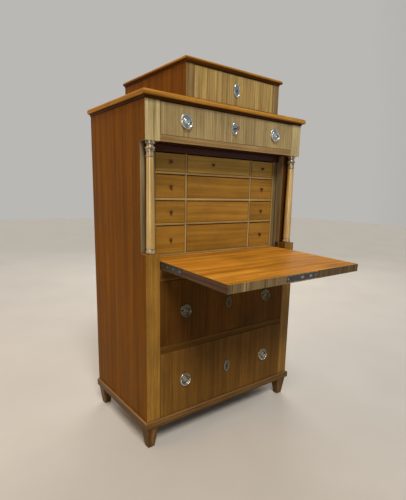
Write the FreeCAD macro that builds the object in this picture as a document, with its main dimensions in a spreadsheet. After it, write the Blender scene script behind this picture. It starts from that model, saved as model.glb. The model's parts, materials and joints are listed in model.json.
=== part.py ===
"""Escritoire: a drop-front secretaire with two columns, a nest of small drawers and an attic drawer.

Millimetres, +Z up, the front towards -Y. The origin lies on the floor, under the middle of the piece as it
stands with its flap let down.
"""

import FreeCAD, Part
import os
import re
from dataclasses import dataclass

import Sketcher

# Driving sizes
SIZES = {
    # Carcass
    "carcass_width": 850.0,
    "carcass_depth": 495.0,
    "side_thick": 20.0,
    "back_thick": 10.0,
    "back_joint": 0.6,
    "dust_thick": 14.0,
    "guide_height": 40.0,
    "post_width": 63.0,
    "recess_depth": 40.0,
    "post_rise": 26.0,
    "lower_opening": 288.0,
    "mid_rail_height": 30.0,
    "upper_opening": 273.5,
    "flap_rail_height": 48.0,
    "flap_rail_depth": 28.0,
    # Base and feet
    "foot_height": 96.0,
    "foot_top": 54.0,
    "foot_tip": 30.0,
    "foot_inset": 8.0,
    "base_height": 30.5,
    "base_overhang": 9.5,
    "base_width": 60.0,
    "base_round": 7.0,
    # Flap, its pivots and the desk bed
    "flap_thick": 31.0,
    "flap_droop": 2.15,
    "flap_side_gap": 1.0,
    "flap_top_gap": 1.7,
    "flap_under_gap": 5.8,
    "flap_stop_gap": 0.3,
    "bed_thick": 20.0,
    "bed_gap": 1.0,
    "strap_thick": 5.0,
    "strap_height": 25.0,
    "strap_length": 206.0,
    "tail_length": 62.0,
    "tail_height": 8.0,
    "tail_gap": 0.2,
    "pivot_diameter": 10.0,
    "pivot_clearance": 0.05,
    "pivot_reach": 7.0,
    "pin_end_gap": 1.0,
    "plate_thick": 4.0,
    "plate_width": 24.0,
    "plate_height": 84.0,
    "fit_gap": 0.1,
    # Frieze, cornice and attic
    "frieze_rail_height": 24.5,
    "frieze_opening": 117.0,
    "cornice_height": 30.0,
    "cornice_overhang": 15.5,
    "cornice_cove": 8.0,
    "cornice_lip": 2.5,
    "cornice_round": 12.0,
    "cornice_under_round": 7.0,
    "cornice_hollow": 5.0,
    "attic_width": 505.0,
    "attic_height": 119.0,
    "attic_forward": 5.0,
    "attic_stile": 37.0,
    "attic_side_thick": 16.0,
    "attic_floor_thick": 8.0,
    "attic_guide_height": 20.0,
    "attic_top_height": 21.5,
    "attic_top_overhang": 10.5,
    "attic_top_cove": 6.0,
    "attic_top_lip": 1.0,
    "attic_top_round": 8.0,
    "attic_top_under_round": 5.0,
    "attic_top_hollow": 4.0,
    "fillet_share": 0.9,
    # Columns
    "column_ring_diameter": 39.4,
    "column_ring_height": 13.0,
    "column_scotia_height": 9.0,
    "column_foot_diameter": 36.0,
    "column_neck_diameter": 30.0,
    "column_bead_diameter": 35.0,
    "column_bead_height": 6.0,
    "column_necking": 15.0,
    "column_fillet_height": 4.0,
    "column_echinus_height": 13.0,
    "column_cavetto_height": 9.0,
    "column_abacus_diameter": 38.4,
    "column_abacus_height": 10.0,
    # Nest of small drawers
    "nest_back_gap": 65.0,
    "nest_board": 9.5,
    "nest_side_thick": 9.5,
    "nest_back_thick": 6.0,
    "nest_stile_depth": 20.0,
    "nest_divider": 10.0,
    "nest_stile": 19.5,
    "nest_end_width": 143.0,
    "row_one": 74.5,
    "row_two": 95.5,
    "row_three": 92.0,
    "row_four": 118.5,
    "lath_height": 26.7,
    "small_gap": 0.8,
    "small_head_gap": 3.0,
    "small_rest": 0.3,
    "small_front": 12.0,
    "small_side": 7.0,
    "small_lap": 4.0,
    "small_pin": 6.0,
    "small_bottom": 5.0,
    "small_bottom_raise": 2.5,
    "small_groove": 3.0,
    "small_back_gap": 30.0,
    "small_top_drop": 14.0,
    "knob_length": 11.0,
    "knob_diameter": 13.0,
    "knob_face": 8.4,
    "knob_foot": 8.8,
    "knob_foot_height": 1.4,
    "knob_stem": 7.0,
    "knob_neck": 4.2,
    "knob_dome": 1.2,
    "knob_clearance": 2.0,
    "top_knob_offset": 43.0,
    # Large drawers
    "front_gap": 1.0,
    "front_head_gap": 2.2,
    "front_thick": 22.0,
    "drawer_rest": 0.3,
    "drawer_side": 12.0,
    "drawer_lap": 6.0,
    "drawer_pin": 9.0,
    "tail_slope": 0.17,
    "drawer_bottom": 8.0,
    "drawer_bottom_raise": 10.0,
    "drawer_groove": 5.0,
    "drawer_top_drop": 24.0,
    "drawer_back_gap": 45.0,
    "frieze_back_gap": 75.0,
    "attic_back_gap": 70.0,
    # Handles
    "handle_inset": 123.0,
    "frieze_handle_inset": 116.0,
    "rosette_diameter": 54.0,
    "rosette_plate": 1.4,
    "rosette_rim_width": 5.0,
    "rosette_rim_rise": 1.8,
    "rosette_bead_diameter": 31.0,
    "rosette_bead_width": 3.2,
    "rosette_bead_rise": 1.2,
    "rosette_boss_diameter": 20.0,
    "rosette_boss_rise": 3.4,
    "eye_spread": 34.0,
    "eye_diameter": 6.6,
    "eye_reach": 10.5,
    "bail_stand": 7.4,
    "bail_wire": 4.0,
    "bail_turn": 3.0,
    "bail_eye_gap": 0.3,
    "bail_pin_inset": 2.6,
    "bail_clearance": 0.25,
    # Escutcheons, locks and key
    "escutcheon_height": 54.0,
    "escutcheon_width": 32.0,
    "escutcheon_thick": 2.4,
    "escutcheon_round": 1.2,
    "keyhole_diameter": 6.6,
    "keyhole_slot": 3.6,
    "keyhole_drop": 11.0,
    "lock_width": 70.0,
    "lock_height": 46.0,
    "lock_depth": 14.0,
    "lock_wall": 2.0,
    "bolt_width": 14.0,
    "bolt_thick": 6.0,
    "bolt_throw": 9.0,
    "bolt_end_gap": 2.0,
    "bolt_clearance": 0.3,
    "bolt_foot": 3.4,
    "key_shank": 5.0,
    "key_reach": 17.0,
    "key_bow": 16.0,
    "key_bow_wire": 3.2,
    "key_bit_drop": 9.0,
    "key_bit_thick": 2.4,
    "flap_lock_width": 100.0,
    "flap_lock_depth": 60.0,
    "flap_lock_thick": 14.0,
    "flap_key_backset": 34.0,
    "selvedge_length": 176.0,
    "selvedge_height": 22.0,
    "selvedge_thick": 3.0,
}

# Places worked out from the driving sizes, written with their names
PLACES = {
    "half": "carcass_width / 2",
    "inner_half": "half - side_thick",
    "opening_half": "half - post_width",
    "pivot_back": "recess_depth + flap_thick / 2",
    "flap_reach": "flap_length * cos(flap_droop) + flap_thick / 2 * sin(flap_droop) - pivot_back",
    "front": "(flap_reach - carcass_depth) / 2",
    "back": "front + carcass_depth",
    "inside_back": "back - back_thick",
    "recess": "front + recess_depth",
    "nest_front": "recess + flap_thick + knob_clearance + knob_length",
    "base_top": "foot_height + base_height",
    "base_front": "front - base_overhang",
    "base_half": "half + base_overhang",
    "lower_top": "base_top + lower_opening",
    "upper_sill": "lower_top + mid_rail_height",
    "upper_top": "upper_sill + upper_opening",
    "flap_rail_top": "upper_top + flap_rail_height",
    "pivot_y": "front + pivot_back",
    "pivot_z": "flap_rail_top + flap_under_gap + flap_thick / 2",
    "bed_top": "pivot_z + flap_thick / 2",
    "bed_front": "pivot_y + flap_thick / 2 + bed_gap",
    "post_top": "bed_top + post_rise",
    "frieze_bottom": "row_one_top + lath_height",
    "flap_length": "frieze_bottom - flap_top_gap - pivot_z",
    "frieze_sill": "frieze_bottom + frieze_rail_height",
    "frieze_top": "frieze_sill + frieze_opening",
    "cornice_top": "frieze_top + cornice_height",
    "attic_half": "attic_width / 2",
    "attic_opening": "attic_half - attic_stile",
    "attic_front": "front - attic_forward",
    "attic_inner": "attic_front + front_thick",
    "attic_floor": "cornice_top + attic_floor_thick",
    "attic_ceiling": "cornice_top + attic_height",
    "column_x": "half - post_width / 2",
    "column_y": "front + recess_depth / 2",
    "column_height": "frieze_bottom - post_top",
    "flap_half": "opening_half - flap_side_gap",
    "tail_top": "-(bed_thick - flap_thick + tail_gap + tail_length * sin(flap_droop) + flap_thick / 2)",
    "nest_half": "opening_half - nest_stile - nest_side_thick",
    "nest_middle": "nest_half - nest_end_width - nest_divider",
    "nest_back": "inside_back - nest_back_gap - nest_back_thick",
    "nest_floor": "bed_top + nest_board",
    "row_four_top": "nest_floor + row_four",
    "row_three_sill": "row_four_top + nest_board",
    "row_three_top": "row_three_sill + row_three",
    "row_two_sill": "row_three_top + nest_board",
    "row_two_top": "row_two_sill + row_two",
    "row_one_sill": "row_two_top + nest_board",
    "row_one_top": "row_one_sill + row_one",
    "nest_top": "row_one_top + nest_board",
    "drawer_half": "opening_half - front_gap",
    "lower_middle": "base_top + lower_opening / 2",
    "upper_middle": "upper_sill + upper_opening / 2",
    "frieze_middle": "frieze_sill + frieze_opening / 2",
    "attic_middle": "cornice_top + attic_height / 2",
    "keyhole_radius": "keyhole_diameter / 2",
    "bail_bend": "eye_spread / 2 + eye_diameter / 2 + bail_eye_gap",
    "bail_radius": "bail_bend + bail_turn",
    "bolt_back": "front + front_thick + (lock_depth + bolt_thick) / 2",
    "bolt_front": "bolt_back - bolt_thick",
}

BACK_BOARDS = 4
# Dovetails at each front corner of a drawer
DEEP_TAILS = 5
SHALLOW_TAILS = 2
SIDES = (("left", -1), ("right", 1))
NEST_COLUMNS = ("left", "middle", "right")
NEST_ROWS = (
    ("1", "row_one_sill", "row_one_top"),
    ("2", "row_two_sill", "row_two_top"),
    ("3", "row_three_sill", "row_three_top"),
    ("4", "nest_floor", "row_four_top"),
)
X_AXIS = FreeCAD.Vector(1, 0, 0)
Y_AXIS = FreeCAD.Vector(0, 1, 0)
Z_AXIS = FreeCAD.Vector(0, 0, 1)
# Lengths nearer than this count as equal, in millimetres
TINY = 1e-6

doc = FreeCAD.newDocument("escritoire")
sheet = doc.addObject("Spreadsheet::Sheet", "Sizes")
for cell_row, (alias, size) in enumerate(SIZES.items(), start=1):
    sheet.set(f"A{cell_row}", str(size))
    sheet.setAlias(f"A{cell_row}", alias)
doc.recompute()
nodes = []


def bound(text):
    """The expression with every place spelled out in cells of the sheet."""

    def spell(match):
        word = match.group(0)
        if word in PLACES:
            return f"({bound(PLACES[word])})"
        return f"Sizes.{word}" if word in SIZES else word

    return re.sub(r"[a-z_]+", spell, str(text))


def number(text):
    """What an expression comes to, in millimetres or degrees."""
    return float(sheet.evalExpression(bound(text).replace("Sizes.", "")))


def bind(thing, **properties):
    """Ties properties of an object to expressions; a double underscore stands for a dot."""
    for name, text in properties.items():
        thing.setExpression(name.replace("__", "."), bound(text))


def stand(thing, x="0", y="0", z="0", axis=Z_AXIS, angle=0):
    """Places an object at expressions, turned about one axis."""
    thing.Placement = FreeCAD.Placement(FreeCAD.Vector(), FreeCAD.Rotation(axis, angle))
    bind(thing, Placement__Base__x=x, Placement__Base__y=y, Placement__Base__z=z)


def node(label, *pieces):
    """Names a sub-part: one piece, or several separate pieces kept as a group."""
    if len(pieces) == 1:
        whole = pieces[0]
    else:
        whole = doc.addObject("Part::Compound", label)
        whole.Links = list(pieces)
    whole.Label = label
    nodes.append(whole)


def span(low, high, side=1):
    """A stretch of X, mirrored for the left side."""
    return (low, high) if side > 0 else (f"-({high})", f"-({low})")


def board(name, x, y, z):
    """A squared board between pairs of expressions."""
    piece = doc.addObject("Part::Box", name)
    sizes = [f"({high}) - ({low})" for low, high in (x, y, z)]
    bind(piece, Length=sizes[0], Width=sizes[1], Height=sizes[2])
    stand(piece, x[0], y[0], z[0])
    return piece


def rod(name, radius, x, y, z):
    """A round bar along X; x is its stretch."""
    piece = doc.addObject("Part::Cylinder", name)
    bind(piece, Radius=radius, Height=f"({x[1]}) - ({x[0]})")
    stand(piece, x[0], y, z, Y_AXIS, 90)
    return piece


def cut(name, base, *tools):
    """A piece with the tools' shapes taken out of it."""
    piece = doc.addObject("Part::Cut", name)
    piece.Base = base
    piece.Tool = tools[0]
    if len(tools) > 1:
        piece.Tool = doc.addObject("Part::MultiFuse", f"{name}_tools")
        piece.Tool.Shapes = list(tools)
    return piece


def body(name):
    """An empty body to shape."""
    return doc.addObject("PartDesign::Body", name)


def sketch_on(owner, role, name, height=None):
    """A sketch on one of the body's own planes, raised off it where a height is given."""
    plane = next(f for f in owner.Origin.OriginFeatures if f.Role == role)
    sketch = owner.newObject("Sketcher::SketchObject", f"{owner.Name}_{name}")
    sketch.AttachmentSupport = [(plane, "")]
    sketch.MapMode = "FlatFace"
    if height is not None:
        bind(sketch, AttachmentOffset__Base__z=height)
    return sketch


def outline(sketch, corners, closed=True):
    """Draws lines and arcs through corners and ties every corner to its expressions.

    A corner is (x, y), or (x, y, (centre x, centre y), turn) where an arc leaves it; turn 1 is anticlockwise.
    """
    points = [FreeCAD.Vector(number(c[0]), number(c[1]), 0) for c in corners]
    legs = len(corners) if closed else len(corners) - 1
    ends, rules, ties = [], [], []
    for i in range(legs):
        here, there = points[i], points[(i + 1) % len(points)]
        if len(corners[i]) == 2:
            geometry = sketch.addGeometry(Part.LineSegment(here, there))
            ends.append((geometry, 1, 2))
            continue
        centre = FreeCAD.Vector(number(corners[i][2][0]), number(corners[i][2][1]), 0)
        first, last = (here, there) if corners[i][3] > 0 else (there, here)
        circle = Part.Circle(centre, Z_AXIS, (here - centre).Length)
        arc = Part.ArcOfCircle(circle, circle.parameter(first), circle.parameter(last))
        geometry = sketch.addGeometry(arc)
        ends.append((geometry, 1, 2) if corners[i][3] > 0 else (geometry, 2, 1))
        level = abs(there.x - here.x) > abs(there.y - here.y)
        ties.append(("Y" if level else "X", geometry, 3, corners[i][2][1 if level else 0]))
    for i in range(legs if closed else legs - 1):
        geometry, _, last = ends[i]
        following, first, _ = ends[(i + 1) % legs]
        rules.append(Sketcher.Constraint("Coincident", geometry, last, following, first))
    for i, corner in enumerate(corners):
        geometry, first, last = ends[min(i, legs - 1)]
        place = first if i < legs else last
        ties.append(("X", geometry, place, corner[0]))
        ties.append(("Y", geometry, place, corner[1]))
    begin = len(sketch.Constraints) + len(rules)
    for way, geometry, place, text in ties:
        rules.append(Sketcher.Constraint(f"Distance{way}", -1, 1, geometry, place, number(text)))
    sketch.addConstraint(rules)
    for i, tie in enumerate(ties):
        sketch.setExpression(f"Constraints[{begin + i}]", bound(tie[3]))
    return sketch


def rectangle(x, y):
    """The corners of a rectangle between pairs of expressions."""
    return [(x[0], y[0]), (x[1], y[0]), (x[1], y[1]), (x[0], y[1])]


def bulge(radius, low, high, swell, turn=1):
    """A corner of a turned profile where a round moulding begins, from height low to height high.

    swell is how far it stands out from the radius, or in where turn is -1.
    """
    chord = f"(({high}) - ({low})) / 2"
    curve = f"((({swell})^2 + ({chord})^2) / (2 * ({swell})))"
    sign = "+" if turn > 0 else "-"
    back = "-" if turn > 0 else "+"
    return radius, low, (f"({radius}) {sign} ({swell}) {back} {curve}", f"(({low}) + ({high})) / 2"), turn


def crown(outer, inner, low, rise):
    """A corner of a turned profile where a raised ring begins, from radius outer in to radius inner."""
    chord = f"(({outer}) - ({inner})) / 2"
    curve = f"((({rise})^2 + ({chord})^2) / (2 * ({rise})))"
    return outer, low, (f"(({outer}) + ({inner})) / 2", f"({low}) + ({rise}) - {curve}"), 1


def dome(radius, low, rise):
    """A corner of a turned profile where a dome begins, which closes on the axis."""
    curve = f"((({rise})^2 + ({radius})^2) / (2 * ({rise})))"
    return radius, low, ("0", f"({low}) + ({rise}) - {curve}"), 1


def circle_on(sketch, x, y, radius):
    """A circle tied to expressions."""
    centre = FreeCAD.Vector(number(x), number(y), 0)
    geometry = sketch.addGeometry(Part.Circle(centre, Z_AXIS, number(radius)))
    rules = [
        Sketcher.Constraint("DistanceX", -1, 1, geometry, 3, number(x)),
        Sketcher.Constraint("DistanceY", -1, 1, geometry, 3, number(y)),
        Sketcher.Constraint("Radius", geometry, number(radius)),
    ]
    sketch.addConstraint(rules)
    for i, text in enumerate((x, y, radius)):
        sketch.setExpression(f"Constraints[{i}]", bound(text))
    return sketch


def pad(owner, sketch, length, back=False):
    """Raises a sketch to a length."""
    feature = owner.newObject("PartDesign::Pad", f"{sketch.Name}_pad")
    feature.Profile = sketch
    feature.Reversed = back
    bind(feature, Length=length)
    sketch.Visibility = False
    return feature


def pocket(owner, sketch, length, back=False):
    """Sinks a sketch to a depth."""
    feature = owner.newObject("PartDesign::Pocket", f"{sketch.Name}_pocket")
    feature.Profile = sketch
    feature.Reversed = back
    bind(feature, Length=length)
    return feature


def turned(owner, sketch, axis="V_Axis"):
    """Turns a half profile about an axis of its sketch."""
    feature = owner.newObject("PartDesign::Revolution", f"{sketch.Name}_turn")
    feature.Profile = sketch
    feature.ReferenceAxis = (sketch, [axis])
    feature.Angle = 360
    return feature


def solid_in(owner, kind, name, x="0", y="0", z="0", axis=Z_AXIS, angle=0, **sizes):
    """A primitive added to a body or taken from it, placed in the body's own frame."""
    feature = owner.newObject(f"PartDesign::{kind}", f"{owner.Name}_{name}")
    bind(feature, **sizes)
    stand(feature, x, y, z, axis, angle)
    return feature


def block_in(owner, kind, name, x, y, z):
    """A squared block added to a body (AdditiveBox) or taken from it (SubtractiveBox)."""
    sizes = [f"({high}) - ({low})" for low, high in (x, y, z)]
    return solid_in(owner, kind, name, x[0], y[0], z[0], Length=sizes[0], Width=sizes[1], Height=sizes[2])


def rounded(owner, radius, wanted):
    """Rounds the edges of the body's tip that answer to wanted(edge)."""
    doc.recompute()
    base = owner.Tip
    names = [f"Edge{i}" for i, edge in enumerate(base.Shape.Edges, start=1) if wanted(edge)]
    feature = owner.newObject("PartDesign::Fillet", f"{owner.Name}_round_{len(owner.Group)}")
    feature.Base = (base, names)
    bind(feature, Radius=radius)
    return feature


def edge_round(half_width, fore, z):
    """Tells an edge that runs level at a height, along the front line or along one of the two ends."""
    reach = number(half_width)
    ahead = number(fore)
    level = number(z)

    def test(edge):
        box = edge.BoundBox
        if abs(box.ZMin - level) > TINY or abs(box.ZMax - level) > TINY:
            return False
        along_end = box.XLength < TINY and abs(abs(box.XMin) - reach) < TINY
        return along_end or (box.YLength < TINY and abs(box.YMin - ahead) < TINY)

    return test


# Carcass


def make_sides():
    """The two side panels."""
    for name, side in SIDES:
        x = span("inner_half", "half", side)
        node(f"side_{name}", board(f"panel_{name}", x, ("recess", "back"), ("base_top", "frieze_top")))


def make_back():
    """Upright back boards between the side panels."""
    width = f"(2 * inner_half - {BACK_BOARDS - 1} * back_joint) / {BACK_BOARDS}"
    boards = []
    for i in range(BACK_BOARDS):
        low = f"-inner_half + {i} * ({width} + back_joint)"
        x = (low, f"{low} + {width}")
        boards.append(board(f"back_board_{i + 1}", x, ("inside_back", "back"), ("base_top", "frieze_top")))
    node("back_boards", *boards)


def make_base():
    """The mitred base moulding on three sides."""
    inner_x = "base_half - base_width"
    inner_y = "base_front + base_width"
    outlines = {
        "front": [
            ("-base_half", "base_front"),
            ("base_half", "base_front"),
            (inner_x, inner_y),
            (f"-({inner_x})", inner_y),
        ]
    }
    for name, side in SIDES:
        sign = "" if side > 0 else "-"
        corners = [
            (f"{sign}base_half", "base_front"),
            (f"{sign}base_half", "back"),
            (f"{sign}({inner_x})", "back"),
            (f"{sign}({inner_x})", inner_y),
        ]
        outlines[name] = corners if side > 0 else corners[::-1]
    lengths = []
    for name, corners in outlines.items():
        length = body(f"base_{name}")
        pad(length, outline(sketch_on(length, "XY_Plane", "plan"), corners), "base_height")
        rounded(length, "base_round", edge_round("base_half", "base_front", "base_height"))
        stand(length, z="foot_height")
        lengths.append(length)
    node("base_moulding", *lengths)


def make_feet():
    """Four tapered square feet."""
    feet = []
    reach = "base_half - foot_inset - foot_top / 2"
    for depth, y in (("front", "base_front + foot_inset + foot_top / 2"), ("rear", "back - foot_top / 2")):
        for name, side in SIDES:
            foot = body(f"foot_{depth}_{name}")
            tip = ("-foot_tip / 2", "foot_tip / 2")
            top = ("-foot_top / 2", "foot_top / 2")
            low = outline(sketch_on(foot, "XY_Plane", "tip"), rectangle(tip, tip))
            high = outline(sketch_on(foot, "XY_Plane", "top", "foot_height"), rectangle(top, top))
            loft = foot.newObject("PartDesign::AdditiveLoft", f"{foot.Name}_loft")
            loft.Profile = low
            loft.Sections = [high]
            loft.Ruled = True
            stand(foot, f"{side} * ({reach})", y)
            feet.append(foot)
    node("feet", *feet)


def make_posts():
    """The lower posts and the blocks that end the frieze."""
    y = ("front", "recess")
    x = [(name, span("opening_half", "half", side)) for name, side in SIDES]
    node("lower_posts", *[board(f"post_{n}", s, y, ("base_top", "post_top")) for n, s in x])
    node("frieze_blocks", *[board(f"block_{n}", s, y, ("frieze_bottom", "frieze_top")) for n, s in x])


def make_rails():
    """The rails across the front."""
    x = ("-opening_half", "opening_half")
    deep = ("front", "nest_front")
    shallow = ("front", "front + flap_rail_depth")
    node(
        "front_rails",
        board("mid_rail", x, deep, ("lower_top", "upper_sill")),
        board("flap_rail", x, shallow, ("upper_top", "flap_rail_top")),
        board("frieze_rail", x, deep, ("frieze_bottom", "frieze_sill")),
    )


def make_inner_boards():
    """The floor, the dust boards and the guides that the drawers run on and between."""
    inside = ("-inner_half", "inner_half")
    y = ("nest_front", "inside_back")
    floor_x = ("-(base_half - base_width)", "base_half - base_width")
    floor_y = ("base_front + base_width", "inside_back")
    node(
        "dust_boards",
        board("floor_board", floor_x, floor_y, ("base_top - dust_thick", "base_top")),
        board("upper_dust_board", inside, y, ("upper_sill - dust_thick", "upper_sill")),
        board("frieze_dust_board", inside, y, ("frieze_sill - dust_thick", "frieze_sill")),
    )
    levels = {
        "lower": ("base_top", "base_top + guide_height"),
        "upper": ("upper_sill", "upper_sill + guide_height"),
        "bed": ("bed_top - guide_height", "bed_top"),
        "frieze": ("frieze_sill", "frieze_sill + guide_height"),
    }
    guides = []
    for level, z in levels.items():
        for name, side in SIDES:
            guides.append(board(f"guide_{level}_{name}", span("opening_half", "inner_half", side), y, z))
    node("drawer_guides", *guides)
    bed_x = ("-opening_half", "opening_half")
    node("desk_bed", board("bed", bed_x, ("bed_front", "inside_back"), ("bed_top - bed_thick", "bed_top")))


def make_jambs():
    """The jambs behind posts and columns, and the iron plates let into them for the flap's pivots."""
    jambs, plates = [], []
    plate_y = ("pivot_y - plate_width / 2", "pivot_y + plate_width / 2")
    plate_z = ("pivot_z - plate_height / 2", "pivot_z + plate_height / 2")
    bore = "pivot_diameter / 2 + pivot_clearance"
    for name, side in SIDES:
        x = span("opening_half", "inner_half", side)
        plate_x = span("opening_half", "opening_half + plate_thick", side)
        bore_x = span("opening_half", "opening_half + pivot_reach", side)
        blank = board(f"jamb_blank_{name}", x, ("recess", "nest_front"), ("base_top", "frieze_top"))
        seat = board(f"plate_seat_{name}", plate_x, plate_y, plate_z)
        relief = rod(f"pin_relief_{name}", f"{bore} + pivot_clearance", bore_x, "pivot_y", "pivot_z")
        jambs.append(cut(f"jamb_{name}", blank, seat, relief))
        plate = board(f"plate_blank_{name}", plate_x, plate_y, plate_z)
        hole = rod(f"pivot_bore_{name}", bore, plate_x, "pivot_y", "pivot_z")
        plates.append(cut(f"pivot_plate_{name}", plate, hole))
    node("jambs", *jambs)
    node("pivot_plates", *plates)


def make_columns():
    """The turned columns, with base ring, tapering shaft and capital."""
    ring = "column_ring_diameter / 2"
    foot = "column_foot_diameter / 2"
    neck = "column_neck_diameter / 2"
    bead = "column_bead_diameter / 2"
    abacus = "column_abacus_diameter / 2"
    abacus_low = "column_height - column_abacus_height"
    echinus_top = f"{abacus_low} - column_cavetto_height"
    echinus_low = f"{echinus_top} - column_echinus_height"
    fillet_low = f"{echinus_low} - column_fillet_height"
    bead_top = f"{fillet_low} - column_necking"
    bead_low = f"{bead_top} - column_bead_height"
    ring_top = "column_ring_height"
    shaft_low = f"{ring_top} + column_scotia_height"
    ring_swell = f"({ring}) - ({foot})"
    bead_swell = f"({bead}) - ({neck})"
    profile = [
        ("0", "0"),
        bulge(foot, "0", ring_top, ring_swell),
        bulge(foot, ring_top, shaft_low, f"({ring_swell}) / 2", -1),
        (foot, shaft_low),
        bulge(neck, bead_low, bead_top, bead_swell),
        (neck, bead_top),
        (neck, fillet_low),
        (bead, fillet_low),
        (bead, echinus_low),
        bulge(neck, echinus_low, echinus_top, f"({abacus}) - ({neck})"),
        bulge(neck, echinus_top, abacus_low, f"({bead_swell}) / 2", -1),
        (neck, abacus_low),
        (abacus, abacus_low),
        (abacus, "column_height"),
        ("0", "column_height"),
    ]
    columns = []
    for name, side in SIDES:
        column = body(f"column_{name}")
        turned(column, outline(sketch_on(column, "XZ_Plane", "profile"), profile))
        stand(column, f"{side} * column_x", "column_y", "post_top")
        columns.append(column)
    node("columns", *columns)


def moulded_board(member, half_width, fore):
    """A top board whose front and ends are worked to a rounded nosing over a hollow and a lip.

    member is the word that the board's own sizes begin with; each round leaves a flat of its wall.
    """
    slab = body(f"{member}_board")
    height, overhang, cove, lip = (f"{member}_{part}" for part in ("height", "overhang", "cove", "lip"))
    nose = f"({height} - {cove})"
    under_wall = f"({overhang} - {lip})"
    reach = f"{half_width} + {overhang}"
    nose_fore = f"{fore} - {overhang}"
    lip_reach = f"{half_width} + {lip}"
    lip_fore = f"{fore} - {lip}"
    low = rectangle((f"-({lip_reach})", lip_reach), (lip_fore, "back"))
    high = rectangle((f"-({reach})", reach), (nose_fore, "back"))
    pad(slab, outline(sketch_on(slab, "XY_Plane", "hollow"), low), cove)
    pad(slab, outline(sketch_on(slab, "XY_Plane", "nosing", cove), high), nose)
    under = f"min({member}_under_round; {under_wall} / 2)"
    over = f"min({member}_round; fillet_share * ({nose} - {under}))"
    hollow = f"min({member}_hollow; fillet_share * {cove}; fillet_share * ({under_wall} - {under}))"
    rounded(slab, over, edge_round(reach, nose_fore, height))
    rounded(slab, under, edge_round(reach, nose_fore, cove))
    rounded(slab, hollow, edge_round(lip_reach, lip_fore, cove))
    return slab


def make_cornice():
    """The cornice board, mortised from below for the bolt of the frieze lock."""
    slab = moulded_board("cornice", "half", "front")
    gap = "2 * bolt_clearance"
    half_slot = f"bolt_width / 2 + {gap}"
    slot_x = (f"-({half_slot})", half_slot)
    slot_y = (f"bolt_front - {gap}", f"bolt_back + {gap}")
    block_in(slab, "SubtractiveBox", "mortise", slot_x, slot_y, ("0", "bolt_throw + bolt_end_gap"))
    stand(slab, z="frieze_top")
    node("cornice", slab)


def make_attic():
    """The attic's case and its moulded top."""
    z = ("cornice_top", "attic_ceiling")
    behind = ("attic_inner", "inside_back")
    pieces = []
    for name, side in SIDES:
        stile_x = span("attic_opening", "attic_half", side)
        side_x = span("attic_half - attic_side_thick", "attic_half", side)
        guide_x = span("attic_opening", "attic_half - attic_side_thick", side)
        guide_z = ("attic_floor", "attic_floor + attic_guide_height")
        pieces.append(board(f"attic_stile_{name}", stile_x, ("attic_front", "attic_inner"), z))
        pieces.append(board(f"attic_side_{name}", side_x, behind, z))
        pieces.append(board(f"attic_guide_{name}", guide_x, behind, guide_z))
    inside = ("-(attic_half - attic_side_thick)", "attic_half - attic_side_thick")
    floor_z = ("cornice_top", "attic_floor")
    pieces.append(board("attic_floor_board", inside, behind, floor_z))
    pieces.append(board("attic_back_board", ("-attic_half", "attic_half"), ("inside_back", "back"), z))
    node("attic_case", *pieces)
    slab = moulded_board("attic_top", "attic_half", "attic_front")
    stand(slab, z="attic_ceiling")
    node("attic_top", slab)


# Drawers


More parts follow.
